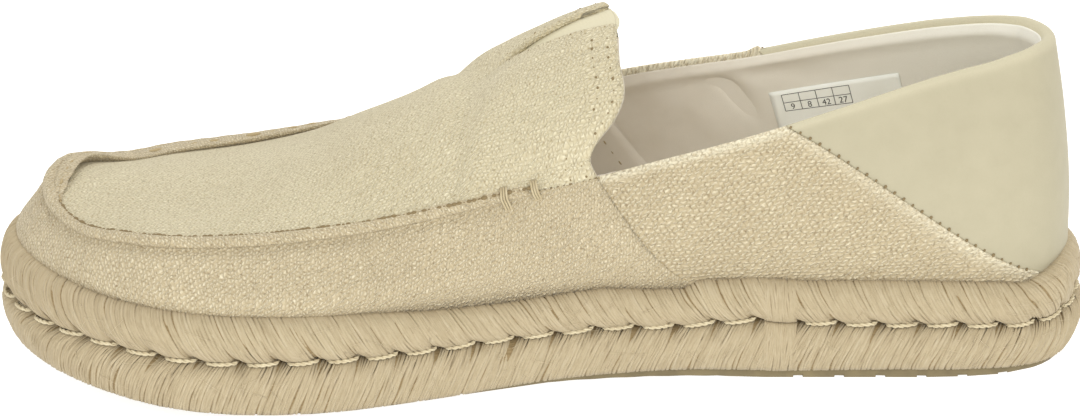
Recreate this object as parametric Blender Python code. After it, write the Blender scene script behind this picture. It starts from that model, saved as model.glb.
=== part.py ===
"""A slip-on moccasin loafer on a braided rope sole, right shoe, standing empty.

The toe points to -X, the inner (medial) side faces -Y and the sole stands on Z = 0.
Sizes are in millimetres and every mesh is written in metres.  All plan sizes hang on one closed
outline, the groove between the two rope courses, and every piece is that outline moved in or out.
"""
import math

import bmesh
import bpy
import numpy as np

MM = 0.001

# ---- driving sizes -------------------------------------------------------------------------
GROOVE_LENGTH = 288.5       # heel back to toe tip along the groove between the rope courses
TOE_SPRING = 10.0           # lift of the toe tip off the floor
SPRING_START = -44.0        # x where the sole begins to rise towards the toe
ARCH_LIFT = 1.6             # hollow of the outsole under the waist
ARCH_FROM, ARCH_TO = -14.0, 58.0
FIT_GAP = 0.3               # gap between pieces that touch

OUTSOLE_THICK = 3.0
OUTSOLE_INSET = 1.2
OUTSOLE_CHAMFER = (0.4, 0.8)    # in and up, along the walking edge
ROPE_HEIGHT = 11.7          # one rope course, seen from the side
ROPE_BULGE = 2.8            # how far a course stands out past the groove
ROPE_DEPTH = 3.5            # how far a course reaches in behind the groove
MIDSOLE_INSET = ROPE_DEPTH + FIT_GAP
MIDSOLE_TOP = 22.0
INSOLE_THICK = 4.0
INSOLE_CHAMFER = 0.8
WALL = 2.1                  # canvas, padding and lining together
UPPER_INSET = MIDSOLE_INSET + 0.1
INSOLE_INSET = UPPER_INSET + WALL + FIT_GAP + 0.6

COUNTER_THICK = 0.85        # microfibre heel piece, laid in a recess of the wall
COUNTER_SUNK = 0.15         # its face lies this much under the canvas
VAMP_PROUD = 0.7            # the front panel laps over the quarter
RIDGE_HEIGHT = 1.7          # puckered seam between the plug and the wall
RIDGE_SHOULDER = 0.35       # share of that height just past the seam
GORE_THICK = 0.7
SLIT_HALF_WIDTH = 10.5      # at the tongue's edge
TACK_THICK = 0.9

TREAD_DEPTH, TREAD_WIDTH, TREAD_PITCH = 1.2, 2.6, 11.0
HEEL_TREAD = (66.0, 6)      # x of the first groove and how many follow it backwards
BALL_TREAD = (-25.0, 9)     # the same under the forefoot, followed forwards
GORE_LAP = 4.0              # how far the elastic reaches under the canvas

LOWER_ROPE_Z = OUTSOLE_THICK + FIT_GAP + ROPE_HEIGHT / 2
UPPER_ROPE_Z = LOWER_ROPE_Z + ROPE_HEIGHT + FIT_GAP
ROPE_TOP = UPPER_ROPE_Z + ROPE_HEIGHT / 2
FEATHER_Z = MIDSOLE_TOP + FIT_GAP

# ---- short tables --------------------------------------------------------------------------
# The groove outline: distance from the heel back, and half width on each side of the axis.
OUTLINE = [
    # name            from_heel  medial  lateral
    ("heel turn",          4.0,   22.4,     8.8),
    ("heel corner",       10.0,   31.0,    16.3),
    ("heel side",         20.0,   36.6,    22.9),
    ("heel front",        35.0,   38.2,    27.8),
    ("back of waist",     60.0,   36.4,    31.5),
    ("waist",             90.0,   33.8,    35.8),
    ("arch",             120.0,   31.9,    41.0),
    ("front of waist",   150.0,   33.9,    45.7),
    ("outer ball",       180.0,   41.2,    48.9),
    ("ball",             210.0,   48.2,    50.0),
    ("inner ball",       235.0,   50.0,    48.6),
    ("toe root",         250.0,   47.3,    46.1),
    ("big toe joint",    262.0,   41.5,    41.0),
    ("toe side",         273.0,   32.9,    33.2),
    ("toe corner",       281.0,   22.6,    24.0),
    ("toe turn",         286.5,   10.8,    13.4),
]
HEEL_BACK_Y = -6.0
TOE_TIP_Y = 1.5

# The wall of the upper, by side.  "along" runs from the heel back (0) to the toe tip (1).
# inset and height place the top edge: the collar behind the throat, the moccasin seam before it.
# belly and shoulder are how far the wall stays inside the groove at 0.28 and 0.65 of its height.
MEDIAL_WALL = [
    # along  inset  height  belly  shoulder
    (0.000,   7.0,   87.2,   1.4,   2.8),
    (0.020,   7.2,   87.2,   1.4,   2.9),
    (0.055,   8.9,   87.2,   1.5,   3.3),
    (0.110,  12.4,   85.6,   1.5,   3.9),
    (0.175,  12.2,   82.6,   1.5,   4.0),
    (0.250,   8.2,   76.3,   1.5,   3.2),
    (0.325,   5.7,   68.8,   1.5,   2.4),
    (0.390,   5.2,   62.6,   1.6,   2.4),
    (0.450,   5.2,   57.3,   1.8,   2.8),
    (0.525,   8.0,   53.0,   2.0,   4.4),
    (0.600,  11.1,   49.8,   2.4,   6.0),
    (0.685,  13.2,   46.2,   2.8,   7.2),
    (0.780,  13.5,   41.8,   3.2,   7.6),
    (0.840,  12.1,   39.8,   3.6,   7.2),
    (0.895,  11.0,   38.8,   4.2,   7.4),
    (0.950,  10.8,   38.3,   4.8,   8.0),
    (1.000,  10.8,   38.0,   5.0,   8.2),
]
LATERAL_WALL = [
    (0.000,   7.0,   87.2,   1.4,   2.8),
    (0.020,   7.3,   87.2,   1.4,   2.9),
    (0.050,   9.3,   87.1,   1.5,   3.3),
    (0.090,  12.2,   86.0,   1.5,   3.9),
    (0.157,  13.0,   82.8,   1.5,   4.2),
    (0.210,  11.5,   79.2,   1.5,   4.0),
    (0.260,  10.0,   75.0,   1.5,   3.6),
    (0.310,   8.2,   70.2,   1.5,   3.2),
    (0.360,   6.0,   65.8,   1.6,   2.7),
    (0.410,   4.9,   62.0,   1.6,   2.4),
    (0.458,   4.9,   58.0,   1.8,   2.8),
    (0.530,   6.8,   53.0,   2.0,   3.8),
    (0.600,   8.6,   48.0,   2.4,   4.8),
    (0.685,  10.0,   43.6,   2.8,   5.6),
    (0.780,   9.8,   38.8,   3.2,   5.8),
    (0.840,   9.2,   37.3,   3.5,   5.8),
    (0.910,   8.8,   36.9,   4.0,   6.2),
    (0.955,   9.8,   37.6,   4.6,   7.2),
    (1.000,  10.8,   38.0,   5.0,   8.2),
]
# Height of the vamp's crest along the shoe, from the toe seam up to the tongue's edge.
CREST = [
    # x      height
    (-134.0,  47.4),
    (-120.0,  47.4),
    (-105.0,  47.6),
    (-90.0,   48.2),
    (-75.0,   49.4),
    (-60.0,   51.6),
    (-48.0,   55.0),
    (-40.0,   59.0),
    (-32.0,   64.2),
    (-24.0,   69.2),
    (-15.5,   74.5),
    (-7.0,    79.6),
    (1.0,     83.6),
    (9.0,     87.0),
    (20.0,    91.0),
]
# How far the tongue's edge swings along the shoe, from the throat corner (0) to the crest (1).
EDGE_SWING = [
    # share  swing
    (0.00,   0.0),
    (0.08,  -2.0),
    (0.17,   0.4),
    (0.26,   4.6),
    (0.35,   6.4),
    (0.60,   4.6),
    (1.00,   0.0),
]
# Seam lines: where each one stands on the rope and where it meets the top edge, as "along".
SEAMS = {
    #            medial foot/top   lateral foot/top
    "counter": ((0.095, 0.300), (0.095, 0.312)),
    "quarter": ((0.377, 0.450), (0.388, 0.458)),
}
COUNTER_LINES, QUARTER_LINES = 9, 9
# Front lines: distance along the top edge from the throat corner, as a share of the way to the toe.
FRONT_TOPS = [0.0, 0.040, 0.080, 0.132, 0.178, 0.225, 0.275, 0.325, 0.378, 0.432, 0.486, 0.540,
              0.592, 0.644, 0.694, 0.742, 0.788, 0.834, 0.878, 0.920, 0.960, 1.0]
SLIT_TIP_LINE = 4           # the front line that passes through the tip of the tongue's slit
TACK_LINES = (2, 3)
CREST_AT_EDGE = 19.5        # x of the tongue's edge on the crest
CREST_SLOPE = 0.45          # rise of the crest there
SWING_FADE = 0.16           # the swing dies out over this share of the front lines
TIP_X = -9.5                # x of the slit's tip
POLE_X = -107.0             # the ribs of the toe run together here
POLE_Y = 2.5
POLE_FROM = -84.0
POLE_SNAP = 1.2             # ribs that end this close to the pole end on it
RIB_LEAN = (0.07, 0.30)     # how far a rib leans in before it rises: at the throat, at the toe
LEAN_SHARE = 0.35           # the lean grows over this share of the front lines
RIB_RISE = 0.55
RIB_CROWN = 0.5

# The slanted seams leave the rope flatter than they reach the top: the counter's, the quarter's.
COUNTER_BEND, QUARTER_BEND = 0.85, 0.62

# Rows of the wall, as shares of its height above the rope.
WALL_ROWS = [0.0, 0.025, 0.13, 0.28, 0.46, 0.65, 0.80]
FOOT_ARCS = (3.4, 1.5)      # two more rows, this far below the top edge
RIDGE_ARCS = (1.5, 3.2)     # two rows this far past the seam, on the plug
VAMP_COLUMNS = 8            # columns from there up to the crest


# ---- curves --------------------------------------------------------------------------------
def curve_through(table, column, at):
    """Smooth curve through one column of a table, by its first column."""
    xs = np.array([row[0] for row in table], float)
    ys = np.array([row[column] for row in table], float)
    gaps = np.diff(xs)
    slopes = np.diff(ys) / gaps
    tangents = np.empty_like(ys)
    tangents[1:-1] = (slopes[:-1] * gaps[1:] + slopes[1:] * gaps[:-1]) / (gaps[1:] + gaps[:-1])
    tangents[0], tangents[-1] = slopes[0], slopes[-1]
    at = np.clip(at, xs[0], xs[-1])
    i = np.clip(np.searchsorted(xs, at, side="right") - 1, 0, len(gaps) - 1)
    t = (at - xs[i]) / gaps[i]
    return ((1 + 2 * t) * (1 - t) ** 2 * ys[i] + t * (1 - t) ** 2 * gaps[i] * tangents[i]
            + t * t * (3 - 2 * t) * ys[i + 1] + t * t * (t - 1) * gaps[i] * tangents[i + 1])


def closed_curve(points, count):
    """Evenly spaced points on a closed centripetal Catmull-Rom curve."""
    dense = []
    total = len(points)
    for i in range(total):
        p = [np.array(points[(i + k - 1) % total], float) for k in range(4)]
        t = [0.0]
        for k in range(3):
            t.append(t[-1] + math.sqrt(np.linalg.norm(p[k + 1] - p[k])))
        for now in np.linspace(t[1], t[2], 40, endpoint=False):
            a = [((t[k + 1] - now) * p[k] + (now - t[k]) * p[k + 1]) / (t[k + 1] - t[k])
                 for k in range(3)]
            b = [((t[k + 2] - now) * a[k] + (now - t[k]) * a[k + 1]) / (t[k + 2] - t[k])
                 for k in range(2)]
            dense.append(((t[2] - now) * b[0] + (now - t[1]) * b[1]) / (t[2] - t[1]))
    dense = np.array(dense)
    loop = np.vstack([dense, dense[:1]])
    run = np.concatenate([[0.0], np.cumsum(np.linalg.norm(np.diff(loop, axis=0), axis=1))])
    even = np.linspace(0.0, run[-1], count, endpoint=False)
    return np.stack([np.interp(even, run, loop[:, 0]), np.interp(even, run, loop[:, 1])], axis=1)


def groove_line():
    """The groove outline from the heel back, round the medial side to the toe, and back."""
    half = GROOVE_LENGTH / 2
    medial = [(half - row[1], -row[2]) for row in OUTLINE]
    lateral = [(half - row[1], row[3]) for row in OUTLINE]
    points = [(half, HEEL_BACK_Y)] + medial + [(-half, TOE_TIP_Y)] + lateral[::-1]
    return closed_curve(points, 1600)


GROOVE = groove_line()
AHEAD = np.roll(GROOVE, -1, axis=0) - np.roll(GROOVE, 1, axis=0)
OUTWARD = np.stack([AHEAD[:, 1], -AHEAD[:, 0]], axis=1)
OUTWARD /= np.linalg.norm(OUTWARD, axis=1)[:, None]
if np.sum(OUTWARD * GROOVE) < 0:
    OUTWARD = -OUTWARD
TOE_SHARE = np.argmin(GROOVE[:, 0]) / len(GROOVE)


def plan_point(side, along, out):
    """A point in plan: side, share of the way from heel to toe, distance outside the groove."""
    share = along * TOE_SHARE if side == "medial" else 1.0 - along * (1.0 - TOE_SHARE)
    index = share * len(GROOVE)
    low = int(math.floor(index))
    part = index - low
    a, b = low % len(GROOVE), (low + 1) % len(GROOVE)
    return ((1 - part) * GROOVE[a] + part * GROOVE[b]
            + out * ((1 - part) * OUTWARD[a] + part * OUTWARD[b]))


def lift(x):
    """How far the toe spring raises the shoe at x."""
    toe_run = SPRING_START + GROOVE_LENGTH / 2
    return TOE_SPRING * max(0.0, (SPRING_START - x) / toe_run) ** 1.7


def arch(x):
    """How far the outsole's underside is hollowed at x."""
    if not ARCH_FROM < x < ARCH_TO:
        return 0.0
    return ARCH_LIFT * math.sin(math.pi * (x - ARCH_FROM) / (ARCH_TO - ARCH_FROM)) ** 2


def placed(plan, z):
    return np.array([plan[0], plan[1], z + lift(plan[0])])


# ---- the lines that all pieces share -------------------------------------------------------
def wall_lines(side):
    """Lines up the wall from heel back to toe tip: (foot along, top along, bend)."""
    column = 0 if side == "medial" else 1
    counter_foot, counter_top = SEAMS["counter"][column]
    quarter_foot, quarter_top = SEAMS["quarter"][column]
    lines = []
    for i in range(COUNTER_LINES):
        part = i / COUNTER_LINES
        lines.append((counter_foot * part, counter_top * part ** 1.6, COUNTER_BEND))
    for i in range(QUARTER_LINES):
        part = i / QUARTER_LINES
        lines.append((counter_foot + (quarter_foot - counter_foot) * part,
                      counter_top + (quarter_top - counter_top) * part,
                      COUNTER_BEND + (QUARTER_BEND - COUNTER_BEND) * part))
    for part in FRONT_TOPS:
        top = quarter_top + (1 - quarter_top) * part
        lines.append((top - (quarter_top - quarter_foot) * (1 - part) ** 4, top, QUARTER_BEND))
    return lines


LINES = {side: wall_lines(side) for side in ("medial", "lateral")}
FIRST_FRONT = COUNTER_LINES + QUARTER_LINES
LAST_LINE = FIRST_FRONT + len(FRONT_TOPS) - 1


def ring_stations():
    """Every foot point once round the shoe, as (side, along)."""
    medial = [("medial", line[0]) for line in LINES["medial"]]
    lateral = [("lateral", line[0]) for line in LINES["lateral"][1:-1]]
    return medial + lateral[::-1]


STATIONS = ring_stations()


# ---- surface of the upper ------------------------------------------------------------------
def wall_point(side, along, share):
    """A point of the wall at a share of its height above the rope."""
    table = MEDIAL_WALL if side == "medial" else LATERAL_WALL
    inset, height, belly, shoulder = (curve_through(table, c, along) for c in (1, 2, 3, 4))
    section = [(0.0, UPPER_INSET), (0.28, belly), (0.65, shoulder), (1.0, inset)]
    out = -curve_through(section, 1, share)
    plan = plan_point(side, along, out)
    return placed(plan, ROPE_TOP + share * (height - ROPE_TOP))


def wall_row(side, line, share):
    """The wall's point on a slanted line, whose foot and top are at different places."""
    foot, top, bend = line
    return wall_point(side, foot + (top - foot) * share ** bend, share)


def top_arc_share(side, line, arc):
    """The share of the wall's height that lies this arc length below its top edge."""
    top = wall_row(side, line, 1.0)
    near = wall_row(side, line, 0.9)
    return 1.0 - 0.1 * arc / np.linalg.norm(top - near)


def crest_point(line_number):
    """Where the rib of a front line ends on the crest."""
    top = {s: wall_point(s, LINES[s][line_number][1], 1.0) for s in ("medial", "lateral")}
    centre_x = 0.5 * (top["medial"][0] + top["lateral"][0])
    front = line_number - FIRST_FRONT
    if front <= SLIT_TIP_LINE:
        x = CREST_AT_EDGE + (TIP_X - CREST_AT_EDGE) * front / SLIT_TIP_LINE
    else:
        x = centre_x
        if x < POLE_FROM:
            tip_x = wall_point("medial", 1.0, 1.0)[0]
            t = (x - POLE_FROM) / (tip_x - POLE_FROM)
            x = POLE_FROM + (POLE_X - POLE_FROM) * (2 * t - t * t)
            if x < POLE_X + POLE_SNAP:
                x = POLE_X
    y = 0.5 * (top["medial"][1] + top["lateral"][1])
    if x < POLE_FROM:
        blend = (x - POLE_FROM) / (POLE_X - POLE_FROM)
        y = (1 - blend) * y + blend * POLE_Y
    return np.array([x, y, curve_through(CREST, 1, x)])


def rib(side, line_number, samples=60):
    """The vamp's section from its top edge up to the crest, as a dense line of points."""
    line = LINES[side][line_number]
    start = wall_row(side, line, 1.0)
    end = crest_point(line_number)
    flat = np.array([end[0] - start[0], end[1] - start[1], 0.0])
    rise = np.array([0.0, 0.0, end[2] - start[2]])
    part = (line_number - FIRST_FRONT) / (LAST_LINE - FIRST_FRONT)
    lean = RIB_LEAN[0] + (RIB_LEAN[1] - RIB_LEAN[0]) * min(1.0, part / LEAN_SHARE)
    controls = [start, start + lean * flat + RIB_RISE * rise, end - RIB_CROWN * flat, end]
    t = np.linspace(0.0, 1.0, samples)[:, None]
    points = ((1 - t) ** 3 * controls[0] + 3 * t * (1 - t) ** 2 * controls[1]
              + 3 * t * t * (1 - t) * controls[2] + t ** 3 * controls[3])
    share = t[:, 0]
    swing = curve_through(EDGE_SWING, 1, share) * max(0.0, 1.0 - part / SWING_FADE)
    points[:, 0] += swing
    points[:, 2] += CREST_SLOPE * swing * share
    return points


def resample(points, arcs):
    run = np.concatenate([[0.0], np.cumsum(np.linalg.norm(np.diff(points, axis=0), axis=1))])
    return [np.array([np.interp(arc, run, points[:, k]) for k in range(3)]) for arc in arcs], run[-1]


def slit_half_width(line_number):
    front = line_number - FIRST_FRONT
    if front >= SLIT_TIP_LINE:
        return 0.0
    return SLIT_HALF_WIDTH * (1.0 - front / SLIT_TIP_LINE) ** 0.85


def rib_points(side, line_number):
    """One rib's points on the vamp, from just past the seam to the crest or the slit's edge."""
    points = rib(side, line_number)
    length = resample(points, [0.0])[1]
    end = length - slit_half_width(line_number)
    inner = [RIDGE_ARCS[1] + (end - RIDGE_ARCS[1]) * (i + 1) / VAMP_COLUMNS
             for i in range(VAMP_COLUMNS)]
    return resample(points, list(RIDGE_ARCS) + inner)[0]


# ---- meshes --------------------------------------------------------------------------------
class Sheet:
    """Points welded by place, with faces and two depths for each point."""

    def __init__(self):
        self.points, self.outer, self.inner, self.faces, self.index = [], [], [], [], {}

    def add(self, point, outer, inner):
        key = tuple(np.round(point, 3))
        if key not in self.index:
            self.index[key] = len(self.points)
            self.points.append(np.array(point))
            self.outer.append(outer)
            self.inner.append(inner)
        return self.index[key]

    def face(self, *corners):
        kept = [c for i, c in enumerate(corners) if c != corners[i - 1]]
        if len(kept) > 2:
            self.faces.append(kept)

    def normals(self):
        points = np.array(self.points)
        out = np.zeros_like(points)
        for face in self.faces:
            for i in range(1, len(face) - 1):
                a, b, c = points[face[0]], points[face[i]], points[face[i + 1]]
                normal = np.cross(b - a, c - a)
                for corner in (face[0], face[i], face[i + 1]):
                    out[corner] += normal
        return out / np.linalg.norm(out, axis=1)[:, None]

    def closed(self, inner_places=None):
        """Outer and inner skins joined by a rim along every open edge."""
        normals = self.normals()
        points = np.array(self.points)
        count = len(points)
        top = points + normals * np.array(self.outer)[:, None]
        under = points + normals * np.array(self.inner)[:, None]
        for place, position in (inner_places(points, under) if inner_places else []):
            under[place] = position
        used = {}
        for face in self.faces:
            for i, corner in enumerate(face):
                used[(face[i - 1], corner)] = True
        faces = [list(face) for face in self.faces]
        faces += [[corner + count for corner in reversed(face)] for face in self.faces]
        for a, b in used:
            if (b, a) not in used:
                faces.append([b, a, a + count, b + count])
        return np.vstack([top, under]), faces


def material(name, colour, roughness, metallic=0.0):
    made = bpy.data.materials.new(name)
    made.use_nodes = True
    shader = made.node_tree.nodes["Principled BSDF"]
    shader.inputs["Base Color"].default_value = (*colour, 1.0)
    shader.inputs["Roughness"].default_value = roughness
    shader.inputs["Metallic"].default_value = metallic
    return made


def make_object(name, points, faces, collection, finish):
    """A closed mesh object in metres, triangulated, with its faces turned outwards."""
    mesh = bpy.data.meshes.new(name)
    work = bmesh.new()
    corners = [work.verts.new([c * MM for c in p]) for p in points]
    for face in faces:
        work.faces.new([corners[i] for i in face])
    loose = [vert for vert in work.verts if not vert.link_faces]
    bmesh.ops.delete(work, geom=loose, context="VERTS")
    bmesh.ops.triangulate(work, faces=work.faces[:], quad_method="SHORT_EDGE")
    bmesh.ops.recalc_face_normals(work, faces=work.faces[:])
    work.to_mesh(mesh)
    work.free()
    mesh.shade_smooth()
    mesh.set_sharp_from_angle(angle=math.radians(40))
    mesh.materials.append(finish)
    made = bpy.data.objects.new(name, mesh)
    collection.objects.link(made)
    return made


def ring_loft(name, section, collection, finish):
    """A closed section, as (out, z) pairs, carried once round the shoe."""
    points, faces = [], []
    size = len(section)
    for side, along in STATIONS:
        for out, z in section:
            points.append(placed(plan_point(side, along, out), z))
    rows = len(STATIONS)
    for i in range(rows):
        for j in range(size):
            a, b = i * size + j, i * size + (j + 1) % size
            c, d = ((i + 1) % rows) * size + (j + 1) % size, ((i + 1) % rows) * size + j
            faces.append([a, b, c, d])
    return make_object(name, points, faces, collection, finish)


def plate(name, edge, collection, finish, hollow_levels=0):
    """A plate across the sole; edge lists its rim from bottom to top as (out, z) pairs."""
    sheet = Sheet()

    def row(number, level):
        out, z = edge[level]
        ends = [placed(plan_point(side, LINES[side][number][0], out), z)
                for side in ("medial", "lateral")]
        middle = 0.5 * (ends[0] + ends[1])
        middle[2] = z + lift(middle[0])
        if level < hollow_levels:
            for point in (ends[0], middle, ends[1]):
                point[2] += arch(point[0])
        return [sheet.add(p, 0, 0) for p in (ends[0], middle, ends[1])]

    levels = len(edge)
    rows = [[row(number, level) for level in range(levels)] for number in range(LAST_LINE + 1)]
    for i in range(LAST_LINE):
        for j in range(2):
            sheet.face(rows[i][0][j], rows[i][0][j + 1], rows[i + 1][0][j + 1], rows[i + 1][0][j])
            top, ahead = rows[i][levels - 1], rows[i + 1][levels - 1]
            sheet.face(top[j + 1], top[j], ahead[j], ahead[j + 1])
        for level in range(levels - 1):
            for j, flip in ((0, False), (2, True)):
                corners = [rows[i][level][j], rows[i + 1][level][j],
                           rows[i + 1][level + 1][j], rows[i][level + 1][j]]
                sheet.face(*(corners[::-1] if flip else corners))
    return make_object(name, sheet.points, sheet.faces, collection, finish)


# ---- sole ----------------------------------------------------------------------------------
def rope_section(middle):
    """A D-shaped rope course: flat behind, round in front."""
    half = ROPE_HEIGHT / 2
    arc = [(-0.40, 1.0), (0.12, 0.94), (0.62, 0.70), (0.94, 0.33)]
    front = [(ROPE_BULGE * out if out > 0 else ROPE_DEPTH * out, half * up) for out, up in arc]
    front = front + [(out, -z) for out, z in front[::-1]]
    back = [(-ROPE_DEPTH, -half * 0.86), (-ROPE_DEPTH, half * 0.86)]
    return [(out, middle + z) for out, z in front + back]


def build_sole(collection, finishes):
    chamfer_in, chamfer_up = OUTSOLE_CHAMFER
    edge = [(-OUTSOLE_INSET - chamfer_in, 0.0), (-OUTSOLE_INSET, chamfer_up),
            (-OUTSOLE_INSET, OUTSOLE_THICK)]
    outsole = plate("outsole", edge, collection, finishes["rubber"], hollow_levels=2)
    cut_tread(outsole)
    plate("midsole", [(-MIDSOLE_INSET, OUTSOLE_THICK + FIT_GAP), (-MIDSOLE_INSET, MIDSOLE_TOP)],
          collection, finishes["core"])
    ring_loft("rope_lower_course", rope_section(LOWER_ROPE_Z), collection, finishes["rope"])
    ring_loft("rope_upper_course", rope_section(UPPER_ROPE_Z), collection, finishes["rope"])
    edge = [(-INSOLE_INSET, FEATHER_Z),
            (-INSOLE_INSET, FEATHER_Z + INSOLE_THICK - INSOLE_CHAMFER),
            (-INSOLE_INSET - INSOLE_CHAMFER, FEATHER_Z + INSOLE_THICK)]
    plate("insole", edge, collection, finishes["lining"])


def cut_tread(outsole):
    """Crosswise grooves under the heel and the forefoot."""
    heel, ball = HEEL_TREAD, BALL_TREAD
    centres = [heel[0] + TREAD_PITCH * i for i in range(heel[1])]
    centres += [ball[0] - TREAD_PITCH * i for i in range(ball[1])]
    reach, depth = 130.0, 10.0
    work = bmesh.new()
    for x in centres:
        bottom = lift(x) + TREAD_DEPTH
        made = bmesh.ops.create_cube(work, size=1.0)["verts"]
        for vert in made:
            vert.co.x = (x + vert.co.x * TREAD_WIDTH) * MM
            vert.co.y = vert.co.y * reach * MM
            vert.co.z = (bottom + (vert.co.z - 0.5) * depth) * MM
    mesh = bpy.data.meshes.new("tread_cutter")
    work.to_mesh(mesh)
    work.free()
    cutter = bpy.data.objects.new("tread_cutter", mesh)
    cutter.hide_render = True
    cutter.display_type = "WIRE"
    CUTTERS.objects.link(cutter)
    cut = outsole.modifiers.new("tread", "BOOLEAN")
    cut.operation = "DIFFERENCE"
    cut.object = cutter


# ---- upper ---------------------------------------------------------------------------------
STEP = 0.0014               # along, about half a millimetre: the width of a step in the wall


def upper_lines(side):
    """The shared lines, with a second line beside each seam where the surface steps."""
    sunk = -COUNTER_THICK - FIT_GAP - COUNTER_SUNK
    lines = []
    for number, (foot, top, bend) in enumerate(LINES[side]):
        behind = (foot - STEP, top - STEP, bend)
        if number == COUNTER_LINES:
            lines.append((number, behind, sunk))
        elif number == FIRST_FRONT:
            lines.append((number, behind, 0.0))
        out = sunk if number < COUNTER_LINES else 0.0 if number < FIRST_FRONT else VAMP_PROUD
        lines.append((number, (foot, top, bend), out))
    return lines


def wall_shares(side, line):
    """Heights of all wall rows on a line."""
    return WALL_ROWS + [top_arc_share(side, line, arc) for arc in FOOT_ARCS] + [1.0]


def ridge_profile(number):
    """How far the seam's ridge stands out on this line; it sinks away towards the bar tack."""
    front = number - FIRST_FRONT
    return RIDGE_HEIGHT * min(1.0, max(0.0, front - TACK_LINES[0]))


def build_upper(collection, finish):
    sheet = Sheet()
    grids = {}
    for side in ("medial", "lateral"):
        grid = []
        for number, line, out in upper_lines(side):
            feather = placed(plan_point(side, line[0], -UPPER_INSET - 0.1), FEATHER_Z)
            column = [sheet.add(feather, 0.0, -WALL)]
            shares = wall_shares(side, line)
            for row, share in enumerate(shares):
                proud = out if row > 0 else 0.0
                if row == len(shares) - 1:
                    proud += ridge_profile(number)
                column.append(sheet.add(wall_row(side, line, share), proud, -WALL))
            grid.append((number, column))
        grids[side] = grid

    def shared(side, number):
        return [column for n, column in grids[side] if n == number][-1]

    for side in ("medial", "lateral"):
        columns = [column for _, column in grids[side]]
        for a, b in zip(columns, columns[1:]):
            for j in range(len(a) - 1):
                corners = (a[j], a[j + 1], b[j + 1], b[j])
                sheet.face(*(corners if side == "medial" else corners[::-1]))

    vamp = {}
    for side in ("medial", "lateral"):
        for number in range(FIRST_FRONT, LAST_LINE + 1):
            row = [shared(side, number)[-1]]
            ridge = ridge_profile(number)
            for k, point in enumerate(rib_points(side, number)):
                proud = VAMP_PROUD + (RIDGE_SHOULDER * ridge if k == 0 else 0.0)
                row.append(sheet.add(point, proud, -WALL))
            vamp[side, number] = row
        for number in range(FIRST_FRONT, LAST_LINE):
            a, b = vamp[side, number], vamp[side, number + 1]
            for j in range(len(a) - 1):
                corners = (a[j], a[j + 1], b[j + 1], b[j])
                sheet.face(*(corners if side == "medial" else corners[::-1]))

    def soften_inside(points, under):
        """Under the ridge the lining runs in one soft bend, so the close rows don't cross."""
        moved = []
        for side in ("medial", "lateral"):
            for number in range(FIRST_FRONT, LAST_LINE + 1):
                wall, top = shared(side, number), vamp[side, number]
                chain = wall[-4:] + top[1:4]
                start, bend, end = under[chain[0]], under[chain[3]], under[chain[-1]]
                for k in range(1, len(chain) - 1):
                    t = k / (len(chain) - 1)
                    place = (1 - t) ** 2 * start + 2 * t * (1 - t) * bend + t * t * end
                    moved.append((chain[k], place))
        return moved

    points, faces = sheet.closed(soften_inside)
    return make_object("upper", points, faces, collection, finish)


# ---- pieces laid on or under the upper -----------------------------------------------------
def patch(name, rows, outer, inner, collection, finish, raised=None):
    """A curved piece over a grid of points, between two distances from the surface."""
    sheet = Sheet()
    grid = []
    for i, row in enumerate(rows):
        extra = raised[i] if raised else [0.0] * len(row)
        grid.append([sheet.add(p, outer + more, inner + more) for p, more in zip(row, extra)])
    for a, b in zip(grid, grid[1:]):
        for j in range(len(a) - 1):
            sheet.face(a[j], a[j + 1], b[j + 1], b[j])
    points, faces = sheet.closed()
    return make_object(name, points, faces, collection, finish)


def build_counter(collection, finish):
    """The microfibre heel piece, from one slanted seam round the heel to the other."""
    start = WALL_ROWS[1] + 0.012        # just above the rope

    def column(side, line):
        shares = [start] + wall_shares(side, line)[2:]
        return [wall_row(side, line, share) for share in shares]

    halves = {}
    for side in ("medial", "lateral"):
        foot, top, bend = LINES[side][COUNTER_LINES]
        last = (foot - 1.9 * STEP, top - 1.9 * STEP, bend)      # clear of the step in the wall
        halves[side] = [column(side, line) for line in LINES[side][:COUNTER_LINES] + [last]]
    rows = halves["lateral"][:0:-1] + halves["medial"]
    patch("heel_counter", rows, -COUNTER_SUNK, -COUNTER_SUNK - COUNTER_THICK, collection, finish)


def build_gore(collection, finish):
    """The elastic that closes the tongue's slit from below."""
    rows = []
    for number in range(FIRST_FRONT, FIRST_FRONT + SLIT_TIP_LINE + 2):
        halves = {}
        for side in ("medial", "lateral"):
            points = rib(side, number)
            length = resample(points, [0.0])[1]
            reach = slit_half_width(number) + GORE_LAP
            halves[side] = resample(points, [length - reach, length - reach / 2, length])[0]
        rows.append(halves["medial"] + halves["lateral"][-2::-1])
    top = -WALL - FIT_GAP - 0.1
    patch("gore", rows, top, top - GORE_THICK, collection, finish)


def build_tacks(collection, finish):
    """Short thread bars that end the ridge on each side."""
    low = VAMP_PROUD + FIT_GAP
    for side in ("medial", "lateral"):
        rows, raised = [], []
        for front in TACK_LINES:
            number = FIRST_FRONT + front
            ridge = ridge_profile(number)
            raised.append([0.0, 0.0, ridge, RIDGE_SHOULDER * ridge, 0.0])
            line = LINES[side][number]
            wall = [wall_row(side, line, top_arc_share(side, line, arc)) for arc in FOOT_ARCS]
            rows.append(wall + [wall_row(side, line, 1.0)] + rib_points(side, number)[:2])
        if side == "lateral":
            rows, raised = rows[::-1], raised[::-1]
        patch("bar_tack_" + side, rows, low + TACK_THICK, low, collection, finish, raised)


# ---- assembly ------------------------------------------------------------------------------
for old in list(bpy.data.objects):
    bpy.data.objects.remove(old, do_unlink=True)

SHOE = bpy.data.collections.new("rope_sole_loafer")
CUTTERS = bpy.data.collections.new("cutters")
bpy.context.scene.collection.children.link(SHOE)
bpy.context.scene.collection.children.link(CUTTERS)

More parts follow.
